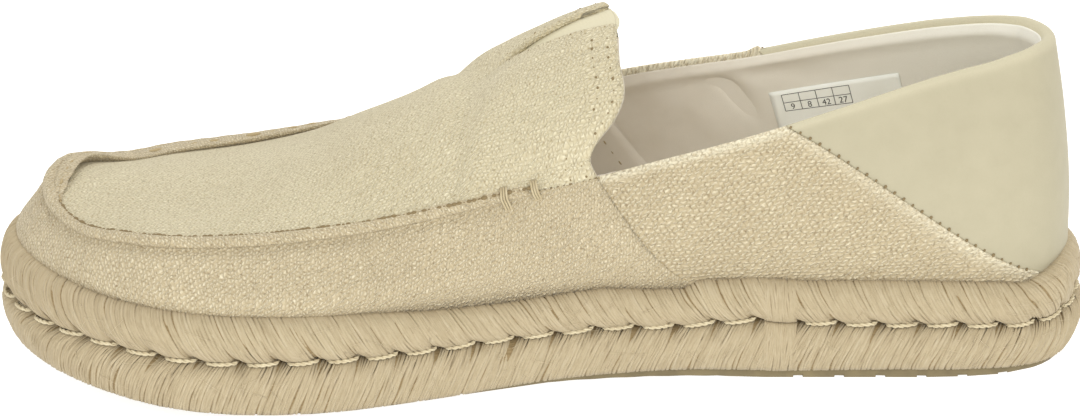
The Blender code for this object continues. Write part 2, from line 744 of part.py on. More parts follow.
FINISHES = {
    "canvas": material("natural_canvas", (0.66, 0.58, 0.40), 0.9),
    "microfibre": material("pale_microfibre", (0.62, 0.58, 0.40), 0.7),
    "lining": material("beige_lining", (0.62, 0.54, 0.43), 0.9),
    "rope": material("jute_rope", (0.58, 0.46, 0.28), 0.95),
    "thread": material("cream_thread", (0.78, 0.68, 0.50), 0.8),
    "elastic": material("cream_elastic", (0.70, 0.63, 0.45), 0.8),
    "core": material("cork_core", (0.45, 0.33, 0.20), 0.9),
    "rubber": material("taupe_rubber", (0.18, 0.15, 0.10), 0.75),
}

build_sole(SHOE, FINISHES)
build_upper(SHOE, FINISHES["canvas"])
build_counter(SHOE, FINISHES["microfibre"])
build_gore(SHOE, FINISHES["elastic"])
build_tacks(SHOE, FINISHES["thread"])
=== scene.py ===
"""Looks of a slip-on moccasin loafer in natural canvas on a braided rope sole.

The toe points to -X, the inner (medial) side faces -Y and the sole stands on Z = 0.  The forms are
worked out in millimetres from the same named sizes as the solids, and written in metres.
"""
import math

import bpy
import numpy as np
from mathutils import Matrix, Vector


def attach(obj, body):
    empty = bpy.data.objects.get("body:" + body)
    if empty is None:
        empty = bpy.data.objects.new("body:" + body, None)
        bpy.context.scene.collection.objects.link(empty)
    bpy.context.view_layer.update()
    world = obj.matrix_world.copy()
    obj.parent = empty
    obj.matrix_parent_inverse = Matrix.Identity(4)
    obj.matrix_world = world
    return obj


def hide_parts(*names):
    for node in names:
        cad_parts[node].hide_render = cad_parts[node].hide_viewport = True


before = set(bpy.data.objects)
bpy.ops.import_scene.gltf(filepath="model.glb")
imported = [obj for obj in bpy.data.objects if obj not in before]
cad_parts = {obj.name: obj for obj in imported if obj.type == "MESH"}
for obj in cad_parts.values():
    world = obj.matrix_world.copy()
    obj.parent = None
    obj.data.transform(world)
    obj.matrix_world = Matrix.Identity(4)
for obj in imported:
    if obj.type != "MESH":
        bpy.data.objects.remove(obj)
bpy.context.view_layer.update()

MM = 0.001

# ---- driving sizes, as in the solids -------------------------------------------------------
GROOVE_LENGTH = 288.5
TOE_SPRING = 10.0
SPRING_START = -44.0
OUTSOLE_THICK = 3.0
FIT_GAP = 0.3
ROPE_HEIGHT = 11.7
ROPE_DEPTH = 3.5
MIDSOLE_TOP = 22.0
INSOLE_THICK = 4.0
WALL = 2.1
FOOT_INSET = 3.1
HEEL_SPREAD = 1.4
COUNTER_SUNK = 0.15
VAMP_PROUD = 0.7
SLIT_HALF_WIDTH = 6.8

GROOVE_Z = OUTSOLE_THICK + FIT_GAP + ROPE_HEIGHT + FIT_GAP / 2
ROPE_TOP = GROOVE_Z + FIT_GAP / 2 + ROPE_HEIGHT
FEATHER_Z = MIDSOLE_TOP + FIT_GAP

# The groove outline: distance from the heel back, and half width on each side of the axis.
OUTLINE = [
    # name            from_heel  medial  lateral
    ("heel turn",          4.0,   22.4,     8.8),
    ("heel corner",       10.0,   31.0,    16.3),
    ("heel side",         20.0,   36.6,    22.9),
    ("heel front",        35.0,   38.2,    27.8),
    ("back of waist",     60.0,   36.4,    31.5),
    ("waist",             90.0,   33.8,    35.8),
    ("arch",             120.0,   31.9,    41.0),
    ("front of waist",   150.0,   33.9,    45.7),
    ("outer ball",       180.0,   41.2,    48.9),
    ("ball",             210.0,   48.2,    50.0),
    ("inner ball",       235.0,   50.0,    48.6),
    ("toe root",         250.0,   47.3,    46.1),
    ("big toe joint",    262.0,   41.5,    41.0),
    ("toe side",         273.0,   32.9,    33.2),
    ("toe corner",       281.0,   22.6,    24.0),
    ("toe turn",         286.5,   10.8,    13.4),
]
HEEL_BACK_Y, TOE_TIP_Y = -6.0, 1.5
GROOVE_POINTS = 1600

# The wall of the upper, by side.  "along" runs from the heel back (0) to the toe tip (1).
# inset and height place the top edge: the collar behind the throat, the moccasin seam before it.
# belly and shoulder are how far the wall stays inside the groove at 0.28 and 0.65 of its height.
WALLS = {
    "medial": [
        # along  inset  height  belly  shoulder
        (0.000,   7.2,   87.2,   1.9,   3.9),
        (0.020,   7.4,   87.2,   1.9,   4.0),
        (0.055,  10.2,   87.8,   1.9,   4.6),
        (0.110,  13.6,   86.5,   1.7,   4.7),
        (0.175,  12.7,   83.1,   1.5,   4.2),
        (0.250,   8.3,   76.1,   1.5,   3.2),
        (0.325,   5.7,   68.4,   1.5,   2.4),
        (0.390,   5.2,   62.3,   1.6,   2.4),
        (0.450,   5.2,   57.3,   1.8,   2.8),
        (0.525,   8.0,   52.1,   2.0,   4.4),
        (0.600,  11.1,   47.9,   2.4,   6.0),
        (0.685,  13.2,   45.3,   2.8,   7.2),
        (0.780,  13.5,   42.6,   3.2,   7.6),
        (0.840,  12.1,   40.8,   3.6,   7.2),
        (0.895,  11.2,   38.2,   4.4,   7.8),
        (0.950,  11.7,   37.7,   5.4,   9.2),
        (1.000,  12.4,   38.3,   5.9,   9.8),
    ],
    "lateral": [
        (0.000,   7.2,   87.2,   1.9,   3.9),
        (0.020,   7.5,   87.2,   1.9,   4.0),
        (0.050,   9.4,   87.1,   1.9,   4.1),
        (0.090,  12.2,   86.2,   1.7,   4.2),
        (0.157,  13.0,   83.3,   1.5,   4.2),
        (0.210,  11.5,   79.7,   1.5,   4.0),
        (0.260,  10.0,   75.6,   1.5,   3.6),
        (0.310,   8.2,   71.1,   1.5,   3.2),
        (0.360,   6.0,   67.2,   1.6,   2.7),
        (0.410,   4.9,   63.4,   1.6,   2.4),
        (0.458,   4.9,   58.9,   1.8,   2.8),
        (0.530,   6.8,   53.4,   2.0,   3.8),
        (0.600,   8.6,   48.0,   2.4,   4.8),
        (0.685,  10.0,   43.3,   2.8,   5.6),
        (0.780,   9.8,   38.3,   3.2,   5.8),
        (0.840,   9.2,   35.6,   3.5,   5.8),
        (0.910,   9.0,   38.4,   4.3,   6.6),
        (0.955,  11.4,   39.3,   5.1,   8.2),
        (1.000,  12.4,   38.3,   5.9,   9.8),
    ],
}
SECTION_SHARES = (0.0, 0.28, 0.65, 1.0)
# Height of the vamp's crest along the shoe, from the toe seam up to the tongue's edge.
CREST = [
    # x      height
    (-134.0,  47.4),
    (-120.0,  47.4),
    (-105.0,  47.6),
    (-90.0,   48.4),
    (-75.0,   50.2),
    (-60.0,   54.7),
    (-48.0,   60.3),
    (-40.0,   63.3),
    (-32.0,   66.5),
    (-24.0,   69.4),
    (-15.5,   70.7),
    (-7.0,    76.9),
    (1.0,     82.6),
    (9.0,     87.2),
    (20.0,    91.4),
]
CREST_LEAN = [
    # x      sideways
    (-134.0,  0.0),
    (-65.0,   0.0),
    (-40.0,   1.5),
    (-24.0,   3.4),
    (-9.5,    4.2),
    (-2.0,    3.0),
    (5.0,     1.2),
    (12.0,    0.0),
    (20.0,   -1.0),
]
# How far the tongue's edge swings along the shoe, from the throat corner (0) to the crest (1).
EDGE_SWING = [
    # share  swing
    (0.00,   0.0),
    (0.08,  -2.0),
    (0.17,  -0.4),
    (0.26,   3.5),
    (0.35,   5.6),
    (0.60,   3.6),
    (1.00,   0.6),
]
# Seam lines: where each one stands on the rope and where it meets the top edge, as "along".
SEAMS = {
    #            medial foot/top   lateral foot/top
    "counter": ((0.087, 0.302), (0.095, 0.301)),
    "quarter": ((0.372, 0.4475), (0.388, 0.458)),
}
COUNTER_BEND, QUARTER_BEND = 0.72, 0.62
# Where the vamp's numbered front lines meet the top edge: shares from quarter seam to toe tip.
FRONT_TOPS = [0.0, 0.040, 0.080, 0.132, 0.178, 0.225, 0.275, 0.325, 0.378, 0.432, 0.486, 0.540,
              0.592, 0.644, 0.694, 0.742, 0.788, 0.834, 0.878, 0.920, 0.960, 1.0]
LAST_FRONT = len(FRONT_TOPS) - 1
SLIT_TIP = 4.0              # the front line that passes through the tip of the tongue's slit
TACK_FROM = 2.25            # the front line where the gathered seam begins
REAR_TACK, FRONT_TACK = 2.12, 2.92      # the front lines of the two thread bars
CREST_AT_EDGE, TIP_X = 19.5, -9.5       # x of the crest at the tongue's edge and the slit's tip
CREST_SLOPE = 0.45          # how far the tongue's edge climbs as it swings
SWING_FADE = 0.16           # share of the vamp over which that swing dies out
# The ribs of the toe run together in one pole; within POLE_SNAP of it they end right there.
POLE_X, POLE_Y, POLE_FROM, POLE_SNAP = -107.0, 2.5, -84.0, 1.2
# A rib's two handles: how far it leans and climbs off the wall, and how flat it meets the crest.
RIB_LEAN, LEAN_SHARE = (0.07, 0.30), 0.35
RIB_RISE, RIB_CROWN = 0.55, 0.5
SIDES = ("medial", "lateral")
TURN = {"medial": 1.0, "lateral": -1.0}     # laterally, a grid that runs forward faces inwards


# ---- curves and the shoe's surface ---------------------------------------------------------
def smooth_curve(xs, ys, at):
    """Smooth curve through points; ys holds one value per point, or a row of values."""
    xs, ys, at = np.asarray(xs, float), np.asarray(ys, float), np.asarray(at, float)
    gaps = np.diff(xs).reshape((-1,) + (1,) * (ys.ndim - 1))
    slopes = np.diff(ys, axis=0) / gaps
    tangents = np.empty_like(ys)
    tangents[1:-1] = (slopes[:-1] * gaps[1:] + slopes[1:] * gaps[:-1]) / (gaps[1:] + gaps[:-1])
    tangents[0], tangents[-1] = slopes[0], slopes[-1]
    at = np.clip(at, xs[0], xs[-1])
    i = np.clip(np.searchsorted(xs, at, side="right") - 1, 0, len(xs) - 2)
    width = (xs[1:] - xs[:-1])[i]
    t = (at - xs[i]) / width

    def pick(values, k):
        return values[k] if ys.ndim == 1 else values[k, np.arange(len(at))]

    return ((1 + 2 * t) * (1 - t) ** 2 * pick(ys, i) + t * (1 - t) ** 2 * width * pick(tangents, i)
            + t * t * (3 - 2 * t) * pick(ys, i + 1)
            + t * t * (t - 1) * width * pick(tangents, i + 1))


def through(table, column, at):
    """Smooth curve through one column of a table, by its first column."""
    return smooth_curve([row[0] for row in table], [row[column] for row in table], at)


def ease(value, low, high):
    """0 below low, 1 above high and a smooth step between."""
    t = np.clip((value - low) / (high - low), 0.0, 1.0)
    return t * t * (3 - 2 * t)


def mound(distance, width):
    """A soft mound: 1 where the distance is 0, and nearly gone at twice the width."""
    return np.exp(-(distance / width) ** 2)


def ridge(distance, form):
    """A soft ridge across a surface, from its height, place and width."""
    height, place_at, width = form
    return height * mound(distance - place_at, width)


def path_run(points):
    """Length so far along one line of points."""
    return np.concatenate([[0.0], np.cumsum(np.linalg.norm(np.diff(points, axis=0), axis=1))])


def closed_curve(points, count):
    """Evenly spaced points on a closed centripetal Catmull-Rom curve."""
    dense = []
    total = len(points)
    for i in range(total):
        p = [np.array(points[(i + k - 1) % total], float) for k in range(4)]
        t = [0.0]
        for k in range(3):
            t.append(t[-1] + math.sqrt(np.linalg.norm(p[k + 1] - p[k])))
        for now in np.linspace(t[1], t[2], 40, endpoint=False):
            a = [((t[k + 1] - now) * p[k] + (now - t[k]) * p[k + 1]) / (t[k + 1] - t[k])
                 for k in range(3)]
            b = [((t[k + 2] - now) * a[k] + (now - t[k]) * a[k + 1]) / (t[k + 2] - t[k])
                 for k in range(2)]
            dense.append(((t[2] - now) * b[0] + (now - t[1]) * b[1]) / (t[2] - t[1]))
    dense = np.array(dense)
    loop = np.vstack([dense, dense[:1]])
    run = path_run(loop)
    even = np.linspace(0.0, run[-1], count, endpoint=False)
    return np.stack([np.interp(even, run, loop[:, 0]), np.interp(even, run, loop[:, 1])], axis=1)


def groove_line():
    """The groove outline from the heel back, round the medial side to the toe, and back."""
    half = GROOVE_LENGTH / 2
    medial = [(half - row[1], -row[2]) for row in OUTLINE]
    lateral = [(half - row[1], row[3]) for row in OUTLINE]
    heel, toe = [(half, HEEL_BACK_Y)], [(-half, TOE_TIP_Y)]
    return closed_curve(heel + medial + toe + lateral[::-1], GROOVE_POINTS)


GROOVE = groove_line()
AHEAD = np.roll(GROOVE, -1, axis=0) - np.roll(GROOVE, 1, axis=0)
AHEAD /= np.linalg.norm(AHEAD, axis=1)[:, None]
OUTWARD = np.stack([-AHEAD[:, 1], AHEAD[:, 0]], axis=1)
TOE_SHARE = np.argmin(GROOVE[:, 0]) / len(GROOVE)
PERIMETER = np.sum(np.linalg.norm(np.roll(GROOVE, -1, axis=0) - GROOVE, axis=1))


def lift(x):
    """How far the toe spring raises the shoe at x."""
    toe_run = SPRING_START + GROOVE_LENGTH / 2
    return TOE_SPRING * np.maximum(0.0, (SPRING_START - x) / toe_run) ** 1.7


def ring_points(share, out, z):
    """Points at a share of the way round the shoe, a distance outside the groove and a height."""
    share, out, z = np.broadcast_arrays(share, out, z)
    index = (share % 1.0) * len(GROOVE)
    low = np.floor(index).astype(int)
    part = (index - low)[..., None]
    a, b = low % len(GROOVE), (low + 1) % len(GROOVE)
    plan = ((1 - part) * GROOVE[a] + part * GROOVE[b]
            + out[..., None] * ((1 - part) * OUTWARD[a] + part * OUTWARD[b]))
    return np.concatenate([plan, (z + lift(plan[..., 0]))[..., None]], axis=-1)


def ring_share(side, along):
    """The share of the way round for a place along one side."""
    return along * TOE_SHARE if side == "medial" else 1.0 - along * (1.0 - TOE_SHARE)


def foot_inset(along):
    """How far inside the groove the wall meets the rope; least round the heel."""
    return FOOT_INSET - HEEL_SPREAD * mound(along, 0.06)


def wall_points(side, along, share):
    """Points of the wall at a share of its height above the rope."""
    along, share = np.broadcast_arrays(np.asarray(along, float), np.asarray(share, float))
    flat, rise = along.ravel(), share.ravel()
    inset, height, belly, shoulder = (through(WALLS[side], c, flat) for c in (1, 2, 3, 4))
    knots = np.stack([foot_inset(flat), belly, shoulder, inset])
    inward = smooth_curve(SECTION_SHARES, knots, rise)
    z = ROPE_TOP + rise * (height - ROPE_TOP)
    return ring_points(ring_share(side, flat), -inward, z).reshape(along.shape + (3,))


def seam_places(name, side):
    """Foot and top of a seam on one side."""
    return SEAMS[name][0 if side == "medial" else 1]


def counter_lines(side, part):
    """Lines of the heel panel, from the heel back (0) to its slanted seam (1)."""
    foot, top = seam_places("counter", side)
    return foot * part, top * part ** 1.6, np.full_like(part, COUNTER_BEND)


def quarter_lines(side, part):
    """Lines of the quarter, from the heel panel's seam (0) to the vamp's (1)."""
    foot0, top0 = seam_places("counter", side)
    foot1, top1 = seam_places("quarter", side)
    return (foot0 + (foot1 - foot0) * part, top0 + (top1 - top0) * part,
            COUNTER_BEND + (QUARTER_BEND - COUNTER_BEND) * part)


def front_lines(side, front):
    """Lines of the vamp, from the quarter seam (0) to the toe tip (LAST_FRONT)."""
    part = smooth_curve(np.arange(LAST_FRONT + 1), FRONT_TOPS, front)
    foot, top = seam_places("quarter", side)
    at_top = top + (1 - top) * part
    return at_top - (top - foot) * (1 - part) ** 4, at_top, np.full_like(at_top, QUARTER_BEND)


def line_points(side, lines, shares):
    """Wall points on slanted lines: one row of points up each line."""
    foot, top, bend = (np.asarray(v, float)[:, None] for v in lines)
    shares = np.broadcast_to(shares, (len(foot), np.shape(shares)[-1]))
    return wall_points(side, foot + (top - foot) * shares ** bend, shares)


def shares_to_top(side, lines, low, arcs):
    """Shares of the wall's height: the low rows, then rows at these arcs below the top edge."""
    ends = line_points(side, lines, np.array([0.9, 1.0]))
    drop = np.linalg.norm(ends[:, 1] - ends[:, 0], axis=1)
    high = 1.0 - 0.1 * np.asarray(arcs)[None, :] / drop[:, None]
    low = np.asarray(low)[None, :] * high[:, :1]
    return np.concatenate([low, high], axis=1)


def crest_ends(front):
    """Where the ribs of the vamp end on its crest."""
    numbers = np.arange(LAST_FRONT + 1)
    tops = [wall_points(side, front_lines(side, numbers)[1], 1.0) for side in SIDES]
    centre = 0.5 * (tops[0] + tops[1])
    x = centre[:, 0].copy()
    early = numbers <= SLIT_TIP
    x[early] = CREST_AT_EDGE + (TIP_X - CREST_AT_EDGE) * numbers[early] / SLIT_TIP
    t = np.clip((x - POLE_FROM) / (x[-1] - POLE_FROM), 0.0, 1.0)
    x = np.where(x < POLE_FROM, POLE_FROM + (POLE_X - POLE_FROM) * (2 * t - t * t), x)
    x = np.where(x < POLE_X + POLE_SNAP, POLE_X, x)
    blend = np.clip((x - POLE_FROM) / (POLE_X - POLE_FROM), 0.0, 1.0)
    y = (1 - blend) * centre[:, 1] + blend * POLE_Y + through(CREST_LEAN, 1, x)
    x, y = smooth_curve(numbers, x, front), smooth_curve(numbers, y, front)
    snapped = x < POLE_X + POLE_SNAP
    x, y = np.where(snapped, POLE_X, x), np.where(snapped, POLE_Y, y)
    return np.stack([x, y, through(CREST, 1, x)], axis=1)


def ribs(side, front):
    """Sections of the vamp from its top edge up to the crest, as dense lines of points."""
    start = wall_points(side, front_lines(side, front)[1], 1.0)
    end = crest_ends(front)
    flat = (end - start) * (1.0, 1.0, 0.0)
    rise = (end - start) * (0.0, 0.0, 1.0)
    part = (front / LAST_FRONT)[:, None]
    lean = RIB_LEAN[0] + (RIB_LEAN[1] - RIB_LEAN[0]) * np.minimum(1.0, part / LEAN_SHARE)
    controls = [start, start + lean * flat + RIB_RISE * rise, end - RIB_CROWN * flat, end]
    t = np.linspace(0.0, 1.0, 90)
    weights = [(1 - t) ** 3, 3 * t * (1 - t) ** 2, 3 * t * t * (1 - t), t ** 3]
    points = sum(w[None, :, None] * c[:, None, :] for w, c in zip(weights, controls))
    swing = through(EDGE_SWING, 1, t)[None, :] * np.maximum(0.0, 1.0 - part / SWING_FADE)
    points[:, :, 0] += swing
    points[:, :, 2] += CREST_SLOPE * swing * t[None, :]
    return points


def slit_half_width(front):
    """How far the slit's edge stands from the crest on each front line."""
    return SLIT_HALF_WIDTH * np.maximum(0.0, 1.0 - front / SLIT_TIP) ** 0.7


def runs(points):
    """Length so far along each row of points."""
    steps = np.linalg.norm(np.diff(points, axis=1), axis=2)
    return np.concatenate([np.zeros((len(points), 1)), np.cumsum(steps, axis=1)], axis=1)


def at_arcs(points, arcs):
    """Each row of points read again at the given arc lengths."""
    run = runs(points)
    return np.stack([np.stack([np.interp(a, r, p[:, k]) for k in range(3)], axis=1)
                     for p, r, a in zip(points, run, arcs)])


# ---- meshes --------------------------------------------------------------------------------
SHOE = bpy.data.collections.new("rope_sole_loafer")
bpy.context.scene.collection.children.link(SHOE)


def unit(vectors):
    """The same directions, each of length 1."""
    return vectors / np.maximum(np.linalg.norm(vectors, axis=-1, keepdims=True), 1e-9)


def grid_normals(points):
    """Normals of a grid of points, out of the shoe when rows climb and columns run clockwise."""
    up = np.gradient(points, axis=1)
    ahead = np.gradient(points, axis=0)
    return unit(np.cross(up, ahead))


def way_out(points, side):
    """The way out of the shoe on a grid whose columns run forward along one side."""
    return grid_normals(points) * TURN[side]


def make_piece(name, points, faces, finish, stands_for=(), uv=None, uv_faces=None,
               tones=None):
    """A finished piece from points in millimetres, with the cloth map and tone of each point."""
    mesh = bpy.data.meshes.new(name)
    mesh.from_pydata((np.asarray(points) * MM).tolist(), [], faces)
    mesh.materials.append(FINISH[finish])
    if uv is not None:
        layer = mesh.uv_layers.new(name="cloth")
        corners = [i for face in uv_faces or faces for i in face]
        layer.uv.foreach_set("vector", uv.reshape(-1, 2)[corners].astype(np.float32).ravel())
    if tones is not None:
        tone = mesh.attributes.new("tone", "FLOAT", "POINT")
        tone.data.foreach_set("value", np.asarray(tones, np.float32))
    mesh.validate()
    mesh.shade_smooth()
    place(name, mesh, stands_for)


def place(name, mesh, stands_for=()):
    """Puts a finished mesh on the shoe's one body, in place of the solids it stands for."""
    piece = bpy.data.objects.new(name, mesh)
    SHOE.objects.link(piece)
    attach(piece, "root")
    if stands_for:
        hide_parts(*stands_for)


class Cloth:
    """Grids of points, welded where they meet and closed into a sheet of real thickness.

    A row of a grid climbs, and its columns run from the heel along the medial side to the toe and
    back, so that the first skin faces out.  Paling from wear and from painted light is kept with
    each skin for its finish.
    """

    def __init__(self):
        self.points, self.outer, self.inner, self.uv, self.under_uv = [], [], [], [], []
        self.wear, self.under_wear = [], []
        self.quads, self.count = [], 0

    def add(self, points, outer, inner, uv, flip=False, under_uv=None, wear=0.0, under_wear=0.0):
        """Adds a grid with the distances of both skins from it, its cloth map, and its paling from
        wear and painted light.
        """
        m, n = points.shape[:2]
        index = np.arange(m * n).reshape(m, n) + self.count
        quads = np.stack([index[:-1, :-1], index[:-1, 1:], index[1:, 1:], index[1:, :-1]], axis=-1)
        quads = quads.reshape(-1, 4)
        self.quads.append(quads[:, ::-1] if flip else quads)
        self.points.append(points.reshape(-1, 3))
        for kept, given in ((self.outer, outer), (self.inner, inner), (self.wear, wear),
                            (self.under_wear, under_wear)):
            kept.append(np.broadcast_to(given, (m, n)).ravel())
        self.uv.append(uv.reshape(-1, 2))
        self.under_uv.append((uv if under_uv is None else under_uv).reshape(-1, 2))
        self.count += m * n

    def build(self, name, finish, stands_for=()):
        """Welds the grids, lays both skins and closes the open edges."""
        points = np.vstack(self.points)
        uv, under_uv = np.vstack(self.uv), np.vstack(self.under_uv)
        quads = np.vstack(self.quads)
        _, first, weld = np.unique(np.round(points / 0.004).astype(np.int64), axis=0,
                                   return_index=True, return_inverse=True)
        weld = weld.ravel()
        base = points[first]
        outer, inner, wear, under_wear = (np.concatenate(kept)[first] for kept in (
            self.outer, self.inner, self.wear, self.under_wear))
        corners = weld[quads]
        a, b, c, d = (base[corners[:, k]] for k in range(4))
        face_normal = np.cross(c - a, d - b)
        normals = np.zeros_like(base)
        for k in range(4):
            np.add.at(normals, corners[:, k], face_normal)
        normals = unit(normals)
        count = len(base)
        skins = np.vstack([base + normals * outer[:, None], base + normals * inner[:, None]])
        faces, sources, used = [], [], {}
        for quad, source in zip(corners.tolist(), quads.tolist()):
            kept = [i for i in range(4) if quad[i] != quad[i - 1]]
            if len(kept) < 3:
                continue
            face, source = [quad[i] for i in kept], [source[i] for i in kept]
            faces.append(face)
            sources.append(source)
            for i in range(len(face)):
                used[face[i - 1], face[i]] = (source[i - 1], source[i])
        under = [[corner + count for corner in reversed(face)] for face in faces]
        total = len(points)
        under_sources = [[i + total for i in reversed(source)] for source in sources]
        rim, rim_sources = [], []
        for (p, q), (from_p, from_q) in used.items():
            if (q, p) not in used:
                rim.append([q, p, p + count, q + count])
                rim_sources.append([from_q, from_p, from_p + total, from_q + total])
        make_piece(name, skins, faces + under + rim, finish, stands_for,
                   np.vstack([uv, under_uv]), sources + under_sources + rim_sources,
                   np.concatenate([wear, under_wear]))


TUBE_SHIFT = 7.3            # each tube reads the cloth map a little further on


def tubes(name, paths, radii, facing, sides, finish, stands_for=(), tones=None):
    """Many closed tubes in one piece: a row of points for each; facing turns them."""
    count, length = paths.shape[:2]
    radii = np.broadcast_to(radii, (count, length))
    tangent = unit(np.gradient(paths, axis=1))
    side = unit(np.cross(tangent, facing))
    up = np.cross(side, tangent)
    angle = np.linspace(0.0, 2 * math.pi, sides, endpoint=False)
    rings = (paths[:, :, None, :]
             + radii[:, :, None, None] * (np.cos(angle)[:, None] * side[:, :, None, :]
                                          + np.sin(angle)[:, None] * up[:, :, None, :]))
    index = np.arange(count * length * sides).reshape(count, length, sides)
    after = np.roll(index, -1, axis=2)
    quads = np.stack([index[:, :-1], after[:, :-1], after[:, 1:], index[:, 1:]], axis=-1)
    faces = quads.reshape(-1, 4).tolist()
    faces += index[:, 0, ::-1].tolist() + index[:, -1].tolist()
    run = runs(paths)[:, :, None] + np.arange(count)[:, None, None] * TUBE_SHIFT
    around = np.broadcast_to(np.arange(sides) / sides, (count, length, sides))
    uv = np.stack([np.broadcast_to(run, around.shape), around], axis=-1)
    if tones is not None:
        tones = np.repeat(tones, length * sides)
    make_piece(name, rings.reshape(-1, 3), faces, finish, stands_for, uv, tones=tones)


def ring_loft(name, sections, finish, stands_for=()):
    """Closed sections, one for each station once round the shoe, joined into a ring."""
    stations, size = sections.shape[:2]
    index = np.arange(stations * size).reshape(stations, size)
    side, ahead = np.roll(index, -1, axis=1), np.roll(index, -1, axis=0)
    both = np.roll(side, -1, axis=0)
    faces = np.stack([index, side, both, ahead], axis=-1).reshape(-1, 4).tolist()
    step = np.arange(stations) * PERIMETER / stations
    girth = runs(sections)
    uv = np.stack([np.broadcast_to(step[:, None], girth.shape), girth], axis=-1)
    make_piece(name, sections.reshape(-1, 3), faces, finish, stands_for, uv)


def one_sheet(name, finish, slot, stands_for, points, outer, inner, uv, **more):
    """A piece of one grid, closed into a sheet."""
    sheet = Cloth()
    sheet.add(points, outer, inner, uv, **more)
    sheet.build(name, finish, stands_for)


# ---- finishes ------------------------------------------------------------------------------
FLOAT, VECTOR, COLOUR = "NodeSocketFloat", "NodeSocketVector", "NodeSocketColor"


class Wire:
    """What a node puts out; it is added, scaled or raised to a power like a number."""

    def __init__(self, tree, socket):
        self.tree, self.socket = tree, socket

    def __add__(self, other):
        return self.tree.math("ADD", self, other)

    def __radd__(self, other):
        return self.tree.math("ADD", other, self)

    def __sub__(self, other):
        return self.tree.math("SUBTRACT", self, other)

    def __rsub__(self, other):
        return self.tree.math("SUBTRACT", other, self)

    def __mul__(self, other):
        return self.tree.math("MULTIPLY", self, other)

    def __truediv__(self, other):
        return self.tree.math("DIVIDE", self, other)

    def __pow__(self, other):
        return self.tree.math("POWER", self, other)


class Tree:
    """A node tree with short calls for the nodes that the shoe's finishes use."""

    def __init__(self, tree):
        self.tree = tree

    def feed(self, socket, value):
        """Links a wire to a socket, or sets its plain value; a colour is opaque."""
        value = getattr(value, "socket", value)
        if isinstance(value, bpy.types.NodeSocket):
            self.tree.links.new(value, socket)
        elif socket.type == "RGBA":
            socket.default_value = (*value, 1.0)
        else:
            socket.default_value = value

    def node(self, kind, feeds=(), **settings):
        """A new node with its settings; feeds go to its inputs by name or number."""
        made = self.tree.nodes.new(kind)
        for key, value in settings.items():
            setattr(made, key, value)
        for key, value in dict(feeds).items():
            self.feed(made.inputs[key], value)
        return made

    def out(self, kind, feeds=(), key=0, **settings):
        """What one output of a new node puts out."""
        return Wire(self, self.node(kind, feeds, **settings).outputs[key])

    def wires(self, sockets):
        """Sockets by their names."""
        return {socket.name: Wire(self, socket) for socket in sockets}

    def math(self, operation, a, b=0.0):
        return self.out("ShaderNodeMath", {0: a, 1: b}, operation=operation)

    def wave(self, phase):
        """One arch for each whole number."""
        return self.math("ABSOLUTE", self.math("SINE", phase * math.pi))

    def span(self, value, low, high, to_low=0.0, to_high=1.0):
        """A value taken from one range to another, and kept inside it."""
        return self.out("ShaderNodeMapRange", enumerate((value, low, high, to_low, to_high)))

    def mix(self, factor, a, b):
        """One colour blended into another."""
        return self.out("ShaderNodeMix", {0: factor, 6: a, 7: b}, 2, data_type="RGBA")

    def split(self, vector):
        made = self.node("ShaderNodeSeparateXYZ", {0: vector})
        return Wire(self, made.outputs[0]), Wire(self, made.outputs[1])

    def join(self, x, y, z=0.0):
        return self.out("ShaderNodeCombineXYZ", {0: x, 1: y, 2: z})

    def noise(self, vector, scale, detail=2.0, roughness=0.55):
        return self.out("ShaderNodeTexNoise", {"Vector": vector, "Scale": scale, "Detail": detail,
                                               "Roughness": roughness})

    def chance(self, x, y):
        """A random value for each whole pair."""
        return self.out("ShaderNodeTexWhiteNoise", {"Vector": self.join(x, y)}, "Value",
                        noise_dimensions="2D")

    def position(self):
        """Where a point lies on the shoe."""
        return self.out("ShaderNodeTexCoord", key="Object")

    def cloth(self):
        """Where a point lies on its cloth or yarn, in millimetres."""
        return self.out("ShaderNodeUVMap", uv_map="cloth")

    def tone(self):
        """The tone kept with each point of the piece: on yarns their own tone and the painted shade
        towards the toe; on cloth its paling from wear and painted light.
        """
        return self.out("ShaderNodeAttribute", key="Fac", attribute_name="tone")

    def group(self, group, **feeds):
        return self.wires(self.node("ShaderNodeGroup", node_tree=group, feeds=feeds).outputs)


def new_group(name, inputs, outputs, kind="ShaderNodeTree"):
    """An empty node group with named sockets: its tree, what it is given and what it gives."""
    group = bpy.data.node_groups.new(name, kind)
    for label, socket_type, value in inputs:
        socket = group.interface.new_socket(label, in_out="INPUT", socket_type=socket_type)
        if value is not None:
            socket.default_value = value
    for label, socket_type in outputs:
        group.interface.new_socket(label, in_out="OUTPUT", socket_type=socket_type)
    tree = Tree(group)
    given = tree.wires(tree.node("NodeGroupInput").outputs)
    return group, tree, given, tree.node("NodeGroupOutput").inputs


